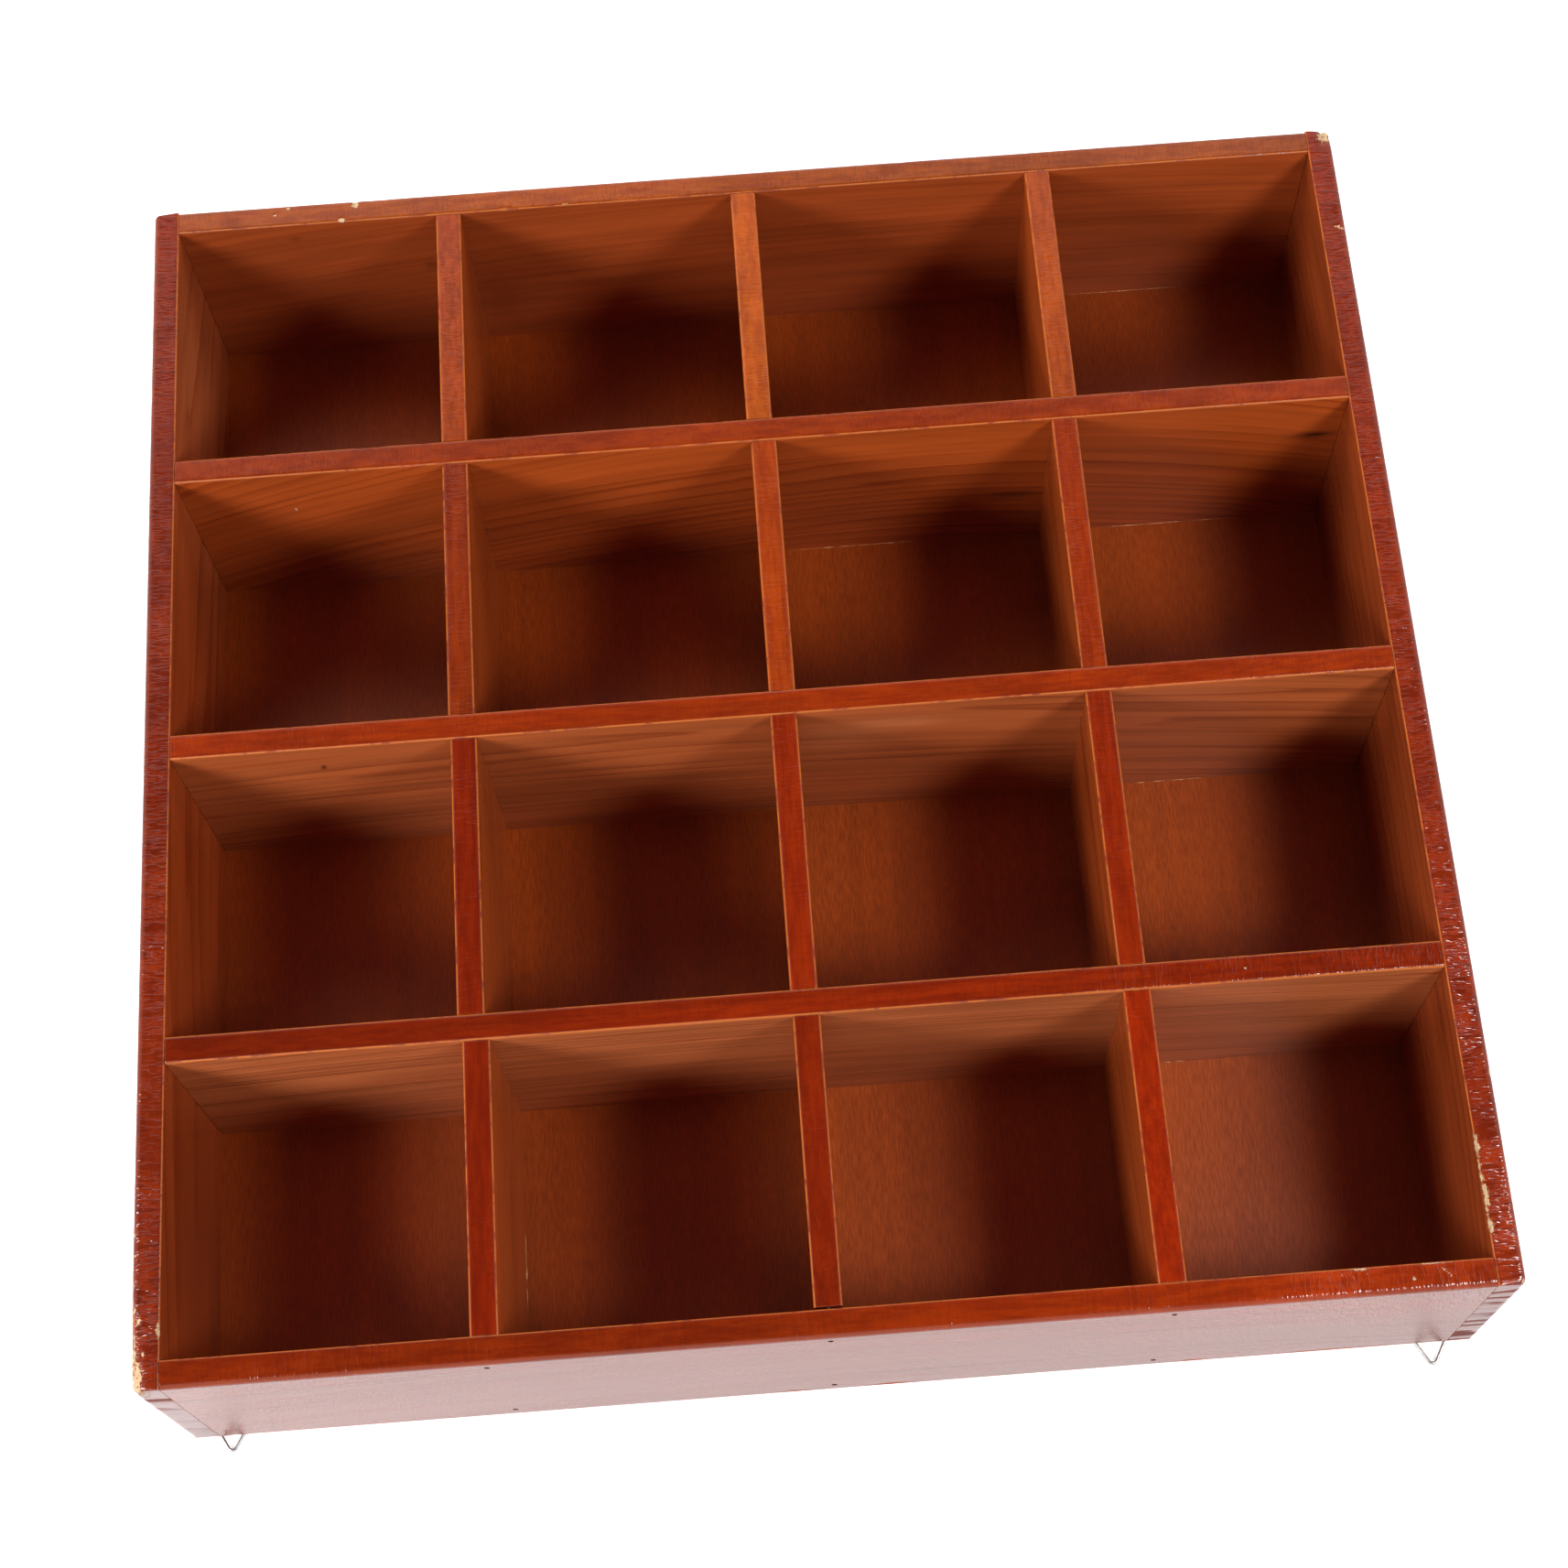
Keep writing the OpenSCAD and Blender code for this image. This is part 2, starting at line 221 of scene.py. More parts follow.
# The rings wander slowly and quickly along the board, and some years are wider than others
wander = calc(tree, "MULTIPLY", calc(tree, "SUBTRACT", slow, 0.5), given["Wander"])
wander = calc(tree, "MULTIPLY", wander, 5.0)
wander = calc(tree, "ADD", wander, calc(tree, "MULTIPLY", quick, 0.30))
wander = calc(tree, "ADD", wander, calc(tree, "MULTIPLY", years, 2.4))
count = calc(tree, "ADD", across.outputs["Value"], wander)
# Within a ring the wood darkens slowly and turns pale again in the last tenth
phase = calc(tree, "FRACT", count)
rise = calc(tree, "POWER", phase, 2.6)
fall = fade(tree, phase, 0.90, 1.0, 1.0, 0.0)
# A ring is strong in one place and faint in another
lasting = noise(tree, stretch(tree, given["Grain"], (5.0, 0.30, 0.30)), 1.0, 2.0)
lasting = fade(tree, lasting, 0.34, 0.60, 0.20, 1.0)
rings = calc(tree, "MULTIPLY", calc(tree, "MULTIPLY", rise, fall), lasting)
tree.links.new(rings, made["Rings"])
# Fine fibres, broad clouds and a slow change of tone along the board
fibres = noise(tree, stretch(tree, given["Grain"], (24.0, 26.0, 26.0)), 1.0, 4.0, 0.6)
tree.links.new(fibres, made["Fibres"])
tree.links.new(noise(tree, stretch(tree, given["Grain"], (9.0, 0.5, 0.5)), 1.0, 3.0, 0.55), made["Cloud"])
tree.links.new(noise(tree, stretch(tree, given["Grain"], (0.31, 0.0, 0.0)), 1.0, 0.0), made["Tone"])
wood_figure = tree
print("Wood figure group:", len(tree.nodes), "nodes")

# %% [markdown]
# ## Lacquer
# Brushed lacquer dries with an orange-peel skin, and on the side rims it has wrinkled across.
# A wrinkle is a crest of four-dimensional noise whose fourth part runs along the board,
# so the pattern changes quickly along the rim and slowly across it.

# %% Group: the lacquer's skin
tree, given, made = new_group(
    "lacquer_skin",
    [("Place", "Vector", (0, 0, 0)), ("Grain", "Vector", (0, 0, 0)), ("Wrinkle", "Float", 0.0)],
    [("Height", "Float"), ("Wrinkled", "Float")],
)
peel = noise(tree, given["Place"], 520.0, 1.0)
along = node(tree, "ShaderNodeSeparateXYZ", {0: given["Grain"]}).outputs["X"]
lines = node(
    tree,
    "ShaderNodeTexNoise",
    {
        "Vector": given["Place"],
        "W": calc(tree, "MULTIPLY", along, 4.6),
        "Scale": 115.0,
        "Detail": 2.0,
        "Roughness": 0.6,
    },
    noise_dimensions="4D",
)
crests = calc(tree, "ABSOLUTE", calc(tree, "SUBTRACT", lines.outputs["Fac"], 0.5))
crests = fade(tree, crests, 0.0, 0.12, 1.6, 0.0)
patches = fade(tree, noise(tree, given["Place"], 36.0, 2.0), 0.36, 0.60, 0.45, 1.0)
wrinkled = calc(tree, "MULTIPLY", calc(tree, "MULTIPLY", crests, patches), given["Wrinkle"])
tree.links.new(calc(tree, "ADD", calc(tree, "MULTIPLY", peel, 0.075), wrinkled), made["Height"])
tree.links.new(wrinkled, made["Wrinkled"])
lacquer_skin = tree
print("Lacquer skin group:", len(tree.nodes), "nodes")

# %% [markdown]
# ## Wear and bare wood
# Along the eased edges the stain was rubbed thin, and where a corner was knocked
# the fibres tore out and show pale wood. Two attributes painted on the mesh, edge and bare,
# say where; fine noise gives both masks a torn outline that the mesh could never carry.
# Torn is 1 where the wood is open, and Stained is 1 where a splinter there kept its stain.

# %% Group: rubbed edges and torn wood
tree, given, made = new_group(
    "worn_places",
    [
        ("Place", "Vector", (0, 0, 0)),
        ("Grain", "Vector", (0, 0, 0)),
        ("Edge", "Float", 0.0),
        ("Bare", "Float", 0.0),
    ],
    [("Rubbed", "Float"), ("Torn", "Float"), ("Stained", "Float")],
)
ragged = noise(tree, given["Place"], 160.0, 3.0, 0.6)
fibres = noise(tree, stretch(tree, given["Grain"], (330.0, 9.0, 9.0)), 1.0, 3.0, 0.7)
lumps = noise(tree, given["Place"], 750.0, 4.0, 0.75)
rubbed = calc(tree, "MULTIPLY", given["Edge"], fade(tree, ragged, 0.30, 0.52, 0.40, 1.0))
tree.links.new(fade(tree, rubbed, 0.42, 0.92), made["Rubbed"])
# Two noises push the painted mask up and down, and the step at 0.5 cuts its torn outline
limit = calc(tree, "ADD", given["Bare"], calc(tree, "MULTIPLY", calc(tree, "SUBTRACT", lumps, 0.5), 1.7))
limit = calc(tree, "ADD", limit, calc(tree, "MULTIPLY", calc(tree, "SUBTRACT", fibres, 0.5), 1.3))
limit = calc(tree, "MULTIPLY", limit, fade(tree, given["Bare"], 0.02, 0.18))
tree.links.new(fade(tree, limit, 0.48, 0.53), made["Torn"])
shallow = fade(tree, limit, 0.50, 0.78, 1.0, 0.0)
tree.links.new(calc(tree, "MAXIMUM", shallow, fade(tree, lumps, 0.44, 0.36)), made["Stained"])
worn_places = tree
print("Worn places group:", len(tree.nodes), "nodes")

# %% [markdown]
# ## Stained pine
# The stain sinks deeper into the soft spring wood, and the resinous autumn wood stays redder.
# One function makes the finish of every board: the side boards are darker and wrinkled,
# and the dividers are more orange. The shader's own gloss is the lacquer: smooth on the rims,
# satin on the faces, and dull where the stain is rubbed or the wood is torn.
# Some colours are painted light: sheen on the faces and far rims, light on some rims, shade in the cells.

# %% Colours of worn wood, painted sheen and painted shade
# The pale colours that the faces mix toward are a painted sheen of the lacquer
sheen_spring, sheen_autumn = (0.50, 0.180, 0.070, 1), (0.27, 0.070, 0.026, 1)
# The dark colour of knots, cracks and smudges, which also paints shade on the cell walls
knot_and_shade = (0.024, 0.005, 0.003, 1)
torn_low, torn_high = (0.39, 0.225, 0.105, 1), (0.58, 0.43, 0.275, 1)
stained_splinter = (0.29, 0.105, 0.036, 1)
orange_edge = (0.41, 0.098, 0.006)
lacquer_depth = 0.09 * mm
print("The lacquer's bumps are", lacquer_depth, "m high")


# %% Material: stained and lacquered pine
def stained_pine(name, spring, autumn, top, rubbed, wrinkle):
    """Stained pine under lacquer: spring and autumn wood on the faces, top on the rims.

    The colour goes from spring to autumn wood with the growth rings, toward a painted sheen where
    the face is pale, to top with the rim value, whose brightness is partly the board's own tone and
    partly painted light, then to rubbed wood, to the dark of knots, cracks, smudges and painted
    shade, and to torn wood with their masks. The wrinkles' crests are painted lighter, as glints.
    The gloss and the bump follow the same masks."""
    material, tree, shader = new_material(name)
    place = node(tree, "ShaderNodeTexCoord").outputs["Object"]
    grain = node(tree, "ShaderNodeAttribute", attribute_name="grain").outputs["Vector"]
    labels = ("edge", "rim", "bare", "dark_and_shade", "tone_and_light", "painted_sheen", "orange_and_sheen", "end", "crazed")
    edge, on_rim, bare, dark_and_shade, tone_and_light, painted_sheen, orange_and_sheen, on_end, crazed = [
        node(tree, "ShaderNodeAttribute", attribute_name=label).outputs["Fac"] for label in labels
    ]
    figure = use_group(tree, wood_figure, {"Grain": grain, "Wander": 0.8})
    wrinkle = calc(tree, "MULTIPLY", on_rim, calc(tree, "ADD", crazed, wrinkle))
    wrinkle = calc(tree, "MULTIPLY", wrinkle, fade(tree, on_end, 0.3, 1.0, 1.0, 0.35))
    skin = use_group(tree, lacquer_skin, {"Place": place, "Grain": grain, "Wrinkle": wrinkle})
    worn = use_group(tree, worn_places, {"Place": place, "Grain": grain, "Edge": edge, "Bare": bare})

    # The faces: growth rings, mixed toward a pale colour as a painted sheen of the lacquer
    colour = blend(tree, figure["Rings"], (*spring, 1), (*autumn, 1))
    sheen_colour = blend(tree, figure["Rings"], sheen_spring, sheen_autumn)
    colour = blend(tree, calc(tree, "MULTIPLY", painted_sheen, 0.5), colour, sheen_colour)
    # The rims: deep colour, more orange by a share that is partly the wood's own and partly painted sheen,
    # darker in the rings, mottled across
    depth = calc(tree, "MULTIPLY", figure["Rings"], fade(tree, on_end, 0.0, 1.0, 0.20, 0.95))
    orange_sheen_top = blend(tree, orange_and_sheen, (*top, 1), (top[0] * 1.2, top[1] * 3.8, top[2] * 16, 1))
    shaded_top = blend(tree, depth, orange_sheen_top, (top[0] * 0.5, top[1] * 0.35, top[2] * 0.35, 1))
    mottle = noise(tree, stretch(tree, grain, (60.0, 1.5, 1.5)), 1.0, 4.0, 0.65)
    mottle = blend(tree, fade(tree, mottle, 0.38, 0.62), (0.88, 0.82, 0.90, 1), (1.11, 1.20, 1.12, 1))
    shaded_top = blend(tree, 1.0, shaded_top, mottle, "MULTIPLY")
    # The rim's brightness scales the top: partly the board's own tone, partly painted light
    colour = blend(tree, on_rim, colour, shaded(tree, shaded_top, tone_and_light))
    # Light and dark all over, with the wrinkles' crests painted lighter as glints, then the worn places on
    # top
    streaks = fade(tree, figure["Fibres"], 0.25, 0.75, 0.86, 1.12)
    clouds = fade(tree, figure["Cloud"], 0.25, 0.75, 0.84, 1.14)
    tones = fade(tree, figure["Tone"], 0.30, 0.70, 0.88, 1.12)
    shade = calc(tree, "MULTIPLY", calc(tree, "MULTIPLY", streaks, clouds), tones)
    # Painted glint: the wrinkles' crests are made lighter in colour
    shade = calc(tree, "ADD", shade, calc(tree, "MULTIPLY", skin["Wrinkled"], 0.30))
    colour = blend(tree, worn["Rubbed"], shaded(tree, colour, shade), (*rubbed, 1))
    # The dark colour paints knots, cracks and smudges, and painted shade on the cell walls
    colour = blend(tree, dark_and_shade, colour, knot_and_shade)
    wood = blend(tree, figure["Fibres"], torn_low, torn_high)
    wood = blend(tree, worn["Stained"], wood, stained_splinter)
    colour = blend(tree, worn["Torn"], colour, wood)

    # The gloss: dull where worn and in the end grain's rings
    bands = calc(tree, "MULTIPLY", figure["Rings"], on_end)
    dull = calc(tree, "MAXIMUM", worn["Torn"], calc(tree, "MULTIPLY", worn["Rubbed"], 0.6))
    dull = calc(tree, "MAXIMUM", dull, fade(tree, bands, 0.05, 0.45, 0.0, 0.9))
    satin = calc(tree, "ADD", 0.24, calc(tree, "MULTIPLY", figure["Rings"], 0.06))
    satin = between(tree, fade(tree, on_rim, 0.75, 1.0), satin, 0.16)
    finish(tree, shader, colour, between(tree, dull, satin, 0.80))
    shader.inputs["Specular IOR Level"].default_value = 0.42
    # The height: skin and fibres, with torn wood and the end grain's rings lying lower
    height = calc(tree, "ADD", skin["Height"], calc(tree, "MULTIPLY", figure["Fibres"], 0.05))
    height = calc(tree, "ADD", height, calc(tree, "MULTIPLY", worn["Torn"], -1.5))
    height = calc(tree, "ADD", height, calc(tree, "MULTIPLY", bands, -4.0))
    roughen(tree, shader, height, 1.0, lacquer_depth)
    return material


# %% Three pine finishes
side_pine = stained_pine(
    "side_pine", (0.275, 0.046, 0.009), (0.175, 0.023, 0.004), (0.108, 0.0085, 0.0008), orange_edge, 0.75
)
wall_pine = stained_pine(
    "wall_pine", (0.285, 0.048, 0.009), (0.245, 0.037, 0.006), (0.155, 0.0125, 0.0004), orange_edge, 0.34
)
divider_pine = stained_pine(
    "divider_pine", (0.295, 0.053, 0.009), (0.165, 0.021, 0.003), (0.180, 0.0105, 0.0002), orange_edge, 0.20
)
print("Pine finishes:", side_pine.name, wall_pine.name, divider_pine.name)

# %% [markdown]
# ## Boards as surfaces
# A board is its section carried along a straight path. The section is a closed outline:
# up one face, over the rounded rim and down the other face. Its points crowd towards the rim,
# where the wear is. The path's stations crowd around each chip, and at both ends the section
# shrinks along a quarter circle, so the end's edges are round too.

# %% A board's section
face_points = 26
flat_points = 15
round_points = 6
worn_round = 1.2 * mm
print("Points in a board's section:", 2 * face_points + flat_points - 2 + 2 * round_points)


def board_outline(thick, high, low_round, high_round, outer=(0, 0)):
    """Closed section of a board: points, outward normals, edge values and rim values.

    A face's heights are high times 1 - t^1.8 with t from 1 to 0, and a round is the quarter
    circle (1 - cos, sin) scaled by its radius, with an edge value of sin(2 angle) and a rim
    value of sin^2(angle), which goes from 0 on the face to 1 on top. A face has the rim
    value outer, and an edge rounder than worn_round isn't rubbed."""
    t = np.linspace(1, 0, face_points, endpoint=False) ** 1.8
    turn = np.linspace(0, np.pi / 2, round_points)
    flat = np.linspace(low_round, thick - high_round, flat_points)[1:-1]
    ones = np.ones_like
    rise, run, corner = np.sin(turn), np.cos(turn), np.sin(2 * turn) ** 2
    low_edge, high_edge = corner * (low_round < worn_round), corner * (high_round < worn_round)
    low_rim, high_rim = np.maximum(rise**2, outer[0]), np.maximum(run**2, outer[1])
    low_rise, low_run = low_round * rise, low_round * run
    high_rise, high_run = high_round * rise, high_round * run
    parts = [
        (0 * t, (high - low_round) * (1 - t), -ones(t), 0 * t, 0 * t, outer[0] + 0 * t),
        (low_round - low_run, high - low_round + low_rise, -run, rise, low_edge, low_rim),
        (flat, high * ones(flat), 0 * flat, ones(flat), 0 * flat, ones(flat)),
        (thick - high_round + high_rise, high - high_round + high_run, rise, run, high_edge, high_rim),
        (thick * ones(t), ((high - high_round) * (1 - t))[::-1], ones(t), 0 * t, 0 * t, outer[1] + 0 * t),
    ]
    return [np.concatenate(column) for column in zip(*parts)]


# %% The path's stations
station_step, mark_step, mark_span = 4 * mm, 0.6 * mm, 7 * mm
inside_end = 0.05 * mm
print("Stations stand", station_step, "m apart, and", mark_step, "m apart round a chip")


def path_stations(length, places, margin):
    """Distances along a board: every station_step, every mark_step around each place, and one
    just inside each end's margin, so that the end's round doesn't bend the light beyond it."""
    first = margin + inside_end
    parts = [np.arange(0, length, station_step), np.array([first, length - first])]
    parts += [np.arange(p - mark_span, p + mark_span, mark_step) for p in places]
    every = np.unique(np.round(np.concatenate(parts), 5))
    return every[(every > margin) & (every < length - margin)]


# %% Meshes from arrays
def mesh_piece(name, points, faces, material, attributes=None, smooth=True):
    """Makes a mesh object from arrays, with float or vector attributes on its points."""
    mesh = bpy.data.meshes.new(name)
    mesh.from_pydata(points.tolist(), [], faces)
    mesh.materials.append(material)
    for label, values in (attributes or {}).items():
        kind, field = ("FLOAT_VECTOR", "vector") if values.ndim == 2 else ("FLOAT", "value")
        layer = mesh.attributes.new(label, kind, "POINT")
        layer.data.foreach_set(field, values.astype(np.float32).ravel())
    if smooth:
        mesh.shade_smooth()
        mesh.set_sharp_from_angle(angle=math.radians(40))
    piece = bpy.data.objects.new(name, mesh)
    scene.collection.objects.link(piece)
    return piece


def loop_faces(rows, columns):
    """Quads between the rows of a grid whose columns close into a ring."""
    index = np.arange(rows * columns).reshape(rows, columns)
    here, there = index[:-1], index[1:]
    quads = np.stack([here, np.roll(here, -1, 1), np.roll(there, -1, 1), there], -1)
    return quads.reshape(-1, 4).tolist()


print("Two rows of four points close into", len(loop_faces(2, 4)), "quads")

# %% [markdown]
# ## Marks left by use, and painted light and shade
# Each mark is a kind, a place in millimetres, its reach along the board and across it,
# its depth and its strength. It fades as exp(-0.9 d^2), where d is the distance in reaches.
# Bare tears the wood and sinks it, and rub wears the stain. A dark mark is a knot, a crack or a
# smudge, and the broad, faint ones on the cells' walls are painted shade. A pale mark is a painted
# sheen, a light mark paints light on a stretch of rim, and crazed wrinkles it, with painted glints.

# %% Chips, scratches, knots, painted light and shade
marks = {
    "base_wall": [
        ("bare", (-148.5, 227.0, 90.5), 1.6, 2.4, 1.0, 1.0),
        ("bare", (-153.6, 220.0, 90.5), 1.5, 1.1, 0.5, 1.0),
        ("bare", (-140.0, 228.7, 89.5), 4.0, 0.7, 0.9, 0.8),
        ("bare", (-174.0, 226.7, 90.5), 0.8, 0.8, 0.2, 0.9),
        ("bare", (-179.0, 224.3, 90.5), 0.7, 0.7, 0.2, 0.9),
        ("rub", (-91.2, 219.4, 90.5), 3.5, 1.0, 0.3, 1.0),
        ("bare", (-68.2, 220.0, 90.5), 1.1, 0.8, 0.3, 0.9),
        ("bare", (60.0, 228.7, 90.0), 3.0, 0.6, 0.5, 0.8),
        ("bare", (150.0, 228.7, 90.0), 4.0, 0.5, 0.5, 0.8),
        # Painted light: a brighter stretch of the far rim
        ("painted_light", (-60.0, 224.0, 90.5), 150.0, 40.0, 0.0, 0.30),
        # Painted shade: a broad, faint darkening on the first cell's far wall
        ("dark_and_shade", (-165.0, 219.2, 60.0), 42.0, 36.0, 0.0, 0.16),
        ("dark_and_shade", (-172.9, 219.2, 81.1), 3.0, 1.3, 0.0, 0.55),
        ("dark_and_shade", (-124.4, 219.2, 59.3), 2.5, 2.5, 0.0, 0.50),
        # Painted shade: darker in the corner beside the first short divider
        ("dark_and_shade", (-100.0, 219.2, 32.0), 9.0, 20.0, 0.0, 0.20),
    ],
    "right_side": [
        ("bare", (222.5, 226.5, 90.0), 4.0, 3.0, 1.8, 1.0),
        ("bare", (215.6, -174.6, 90.4), 4.3, 1.6, 0.8, 1.0),
        ("bare", (215.6, -181.0, 90.4), 3.6, 0.8, 0.3, 0.9),
        ("bare", (215.8, -185.0, 90.4), 1.6, 1.2, 0.4, 1.0),
        ("bare", (215.8, -191.0, 90.4), 3.8, 1.8, 0.9, 1.0),
        ("bare", (215.6, -196.5, 90.4), 3.2, 0.8, 0.3, 0.9),
        ("bare", (215.9, -201.2, 90.4), 3.0, 1.7, 0.8, 1.0),
        ("bare", (221.6, 184.6, 90.5), 0.5, 1.2, 0.2, 1.0),
        ("bare", (223.2, 183.6, 90.5), 0.5, 1.1, 0.2, 1.0),
        ("bare", (224.2, -220.5, 89.5), 1.4, 1.4, 0.7, 0.9),
        ("bare", (224.6, -150.0, 89.6), 2.0, 0.7, 0.4, 0.8),
        ("crazed", (220.0, -160.0, 90.5), 110.0, 30.0, 0.0, 0.55),
    ],
    "left_side": [
        ("bare", (-223.6, -218.6, 89.5), 4.6, 3.4, 1.2, 1.0),
        ("bare", (-224.6, -220.5, 84.5), 2.0, 3.0, 0.9, 0.9),
        ("bare", (-224.6, -205.0, 89.6), 3.6, 1.6, 0.8, 0.9),
        ("bare", (-222.4, -199.0, 90.5), 1.6, 1.0, 0.3, 0.9),
        ("bare", (-224.4, -194.8, 90.2), 1.8, 1.0, 0.4, 0.9),
        ("bare", (-224.7, -186.5, 90.0), 1.6, 0.9, 0.4, 0.9),
        ("bare", (-224.2, -176.9, 90.4), 0.5, 1.4, 0.2, 0.9),
        ("bare", (-215.9, -202.0, 90.4), 3.4, 0.9, 0.5, 0.9),
        ("bare", (-224.6, -212.0, 89.6), 11.0, 2.6, 0.3, 0.72),
        ("rub", (-224.6, -200.0, 89.8), 16.0, 2.0, 0.3, 0.8),
        ("bare", (-224.8, 150.0, 89.6), 3.0, 0.5, 0.4, 0.8),
        ("crazed", (-220.0, -150.0, 90.5), 130.0, 30.0, 0.0, 0.35),
        ("crazed", (-221.0, -200.0, 90.5), 18.0, 12.0, 0.0, 0.90),
        ("bare", (-224.7, -170.0, 90.0), 2.2, 0.8, 0.3, 0.8),
        ("bare", (-223.9, -208.5, 90.5), 3.2, 0.9, 0.3, 0.85),
        ("bare", (-222.6, -215.0, 90.4), 4.2, 1.9, 0.5, 0.88),
        ("bare", (-221.0, -210.0, 90.5), 1.8, 0.6, 0.2, 0.85),
        # Painted sheen on the first row's face
        ("painted_sheen", (-215.5, 165.0, 55.0), 60.0, 60.0, 0.0, 0.6),
        # Painted shade on the faces of the near and the second row
        ("dark_and_shade", (-215.5, -170.0, 40.0), 45.0, 60.0, 0.0, 0.36),
        ("dark_and_shade", (-215.5, 60.0, 50.0), 50.0, 60.0, 0.0, 0.14),
        # Painted sheen in a narrow streak
        ("painted_sheen", (-215.5, 180.0, 64.0), 18.0, 4.0, 0.0, 0.8),
    ],
    "hanging_wall": [
        *[("bare", (198.4 + 0.6 * k, -213.9 - 0.7 * k, 90.5), 0.5, 0.45, 0.1, 0.85) for k in range(5)],
        ("bare", (188.9, -217.0, 90.5), 0.7, 0.7, 0.2, 0.9),
        ("bare", (171.8, -212.3, 90.3), 3.6, 0.7, 0.4, 0.9),
        ("bare", (196.0, -212.2, 90.3), 7.0, 0.4, 0.3, 0.9),
        ("dark_and_shade", (-139.6, -221.3, 77.5), 7.0, 4.5, 0.0, 0.30),
        ("dark_and_shade", (-120.0, -221.3, 79.0), 6.0, 2.0, 0.0, 0.18),
        ("rub", (20.0, -221.3, 6.2), 9.0, 2.0, 0.2, 1.0),
        ("rub", (-14.0, -221.3, 6.0), 6.0, 1.6, 0.2, 0.9),
        ("rub", (125.0, -221.3, 6.0), 6.0, 1.6, 0.2, 0.9),
        ("rub", (175.0, -221.3, 5.8), 28.0, 1.2, 0.1, 0.8),
        # Painted light on the right part of the near rim
        ("painted_light", (120.0, -216.5, 90.5), 110.0, 30.0, 0.0, 0.45),
        ("crazed", (195.0, -216.5, 90.5), 45.0, 30.0, 0.0, 0.80),
    ],
    "long_divider_1": [
        ("dark_and_shade", (206.5, 110.5, 65.0), 7.5, 1.8, 0.0, 1.0),
        ("dark_and_shade", (93.6, 110.5, 36.6), 9.0, 0.8, 0.0, 0.9),
        ("bare", (-176.0, 110.5, 65.2), 0.6, 0.6, 0.1, 0.9),
        # Painted light along the rim's right part
        ("painted_light", (140.0, 115.2, 90.5), 120.0, 30.0, 0.0, 0.12),
        # Painted shade on the face in the first column
        ("dark_and_shade", (-160.0, 110.5, 62.0), 46.0, 36.0, 0.0, 0.16),
    ],
    "long_divider_2": [
        ("dark_and_shade", (-164.5, -0.2, 74.3), 0.9, 0.9, 0.2, 1.0),
        # Painted sheen near the top of the face
        ("painted_sheen", (39.0, -0.2, 76.4), 15.0, 3.5, 0.0, 1.0),
        ("painted_sheen", (20.0, -0.2, 68.0), 18.0, 12.0, 0.0, 0.5),
    ],
    "long_divider_3": [
        ("bare", (148.7, -107.0, 90.5), 0.7, 0.6, 0.1, 0.9),
        # Painted light along the middle of the rim
        ("painted_light", (20.0, -107.0, 90.5), 120.0, 30.0, 0.0, 0.30),
        ("crazed", (170.0, -107.0, 90.5), 70.0, 30.0, 0.0, 0.55),
    ],
    "short_divider_2_1": [("dark_and_shade", (-105.2, 110.3, 40.0), 0.6, 11.0, 0.0, 0.9)],
}
print("Marks:", sum(len(found) for found in marks.values()))

# %% Smooth random heights
wave_count = 6
print("Waves in a ripple:", wave_count)


def ripple(points, seed, wavelength):
    """Smooth random heights from -1 to 1: the mean of wave_count sine waves, each with a
    direction and a start of its own and a length not far from wavelength."""
    draw = np.random.default_rng(seed)
    total = np.zeros(len(points))
    for _ in range(wave_count):
        direction = draw.normal(size=3)
        direction *= 2 * np.pi / wavelength / np.linalg.norm(direction) * draw.uniform(0.6, 1.5)
        total += np.sin(points @ direction + draw.uniform(0, 2 * np.pi))
    return total / wave_count


# %% [markdown]
# ## One board
# A board's mesh is a grid of its section at each station, closed by a face at each end.
# Every point gets its grain vector and nine painted numbers, such as edge, rim, bare and the rim's
# brightness, that the pine finish reads; some of them carry painted light, sheen and shade. The
# marks paint some of them and sink the mesh a little, so that a chip is a real hollow and catches
# the light.

# %% Build a board
edge_wear, edge_waves, chip_waves = 0.10 * mm, 60 * mm, 2.5 * mm
broad_mark, end_points, end_gap = 10, 4, 0.2 * mm
painted_kinds = ("bare", "dark_and_shade", "rub", "painted_sheen", "painted_light", "crazed")
print("Eased edges are worn down by up to", 2 * edge_wear, "m")


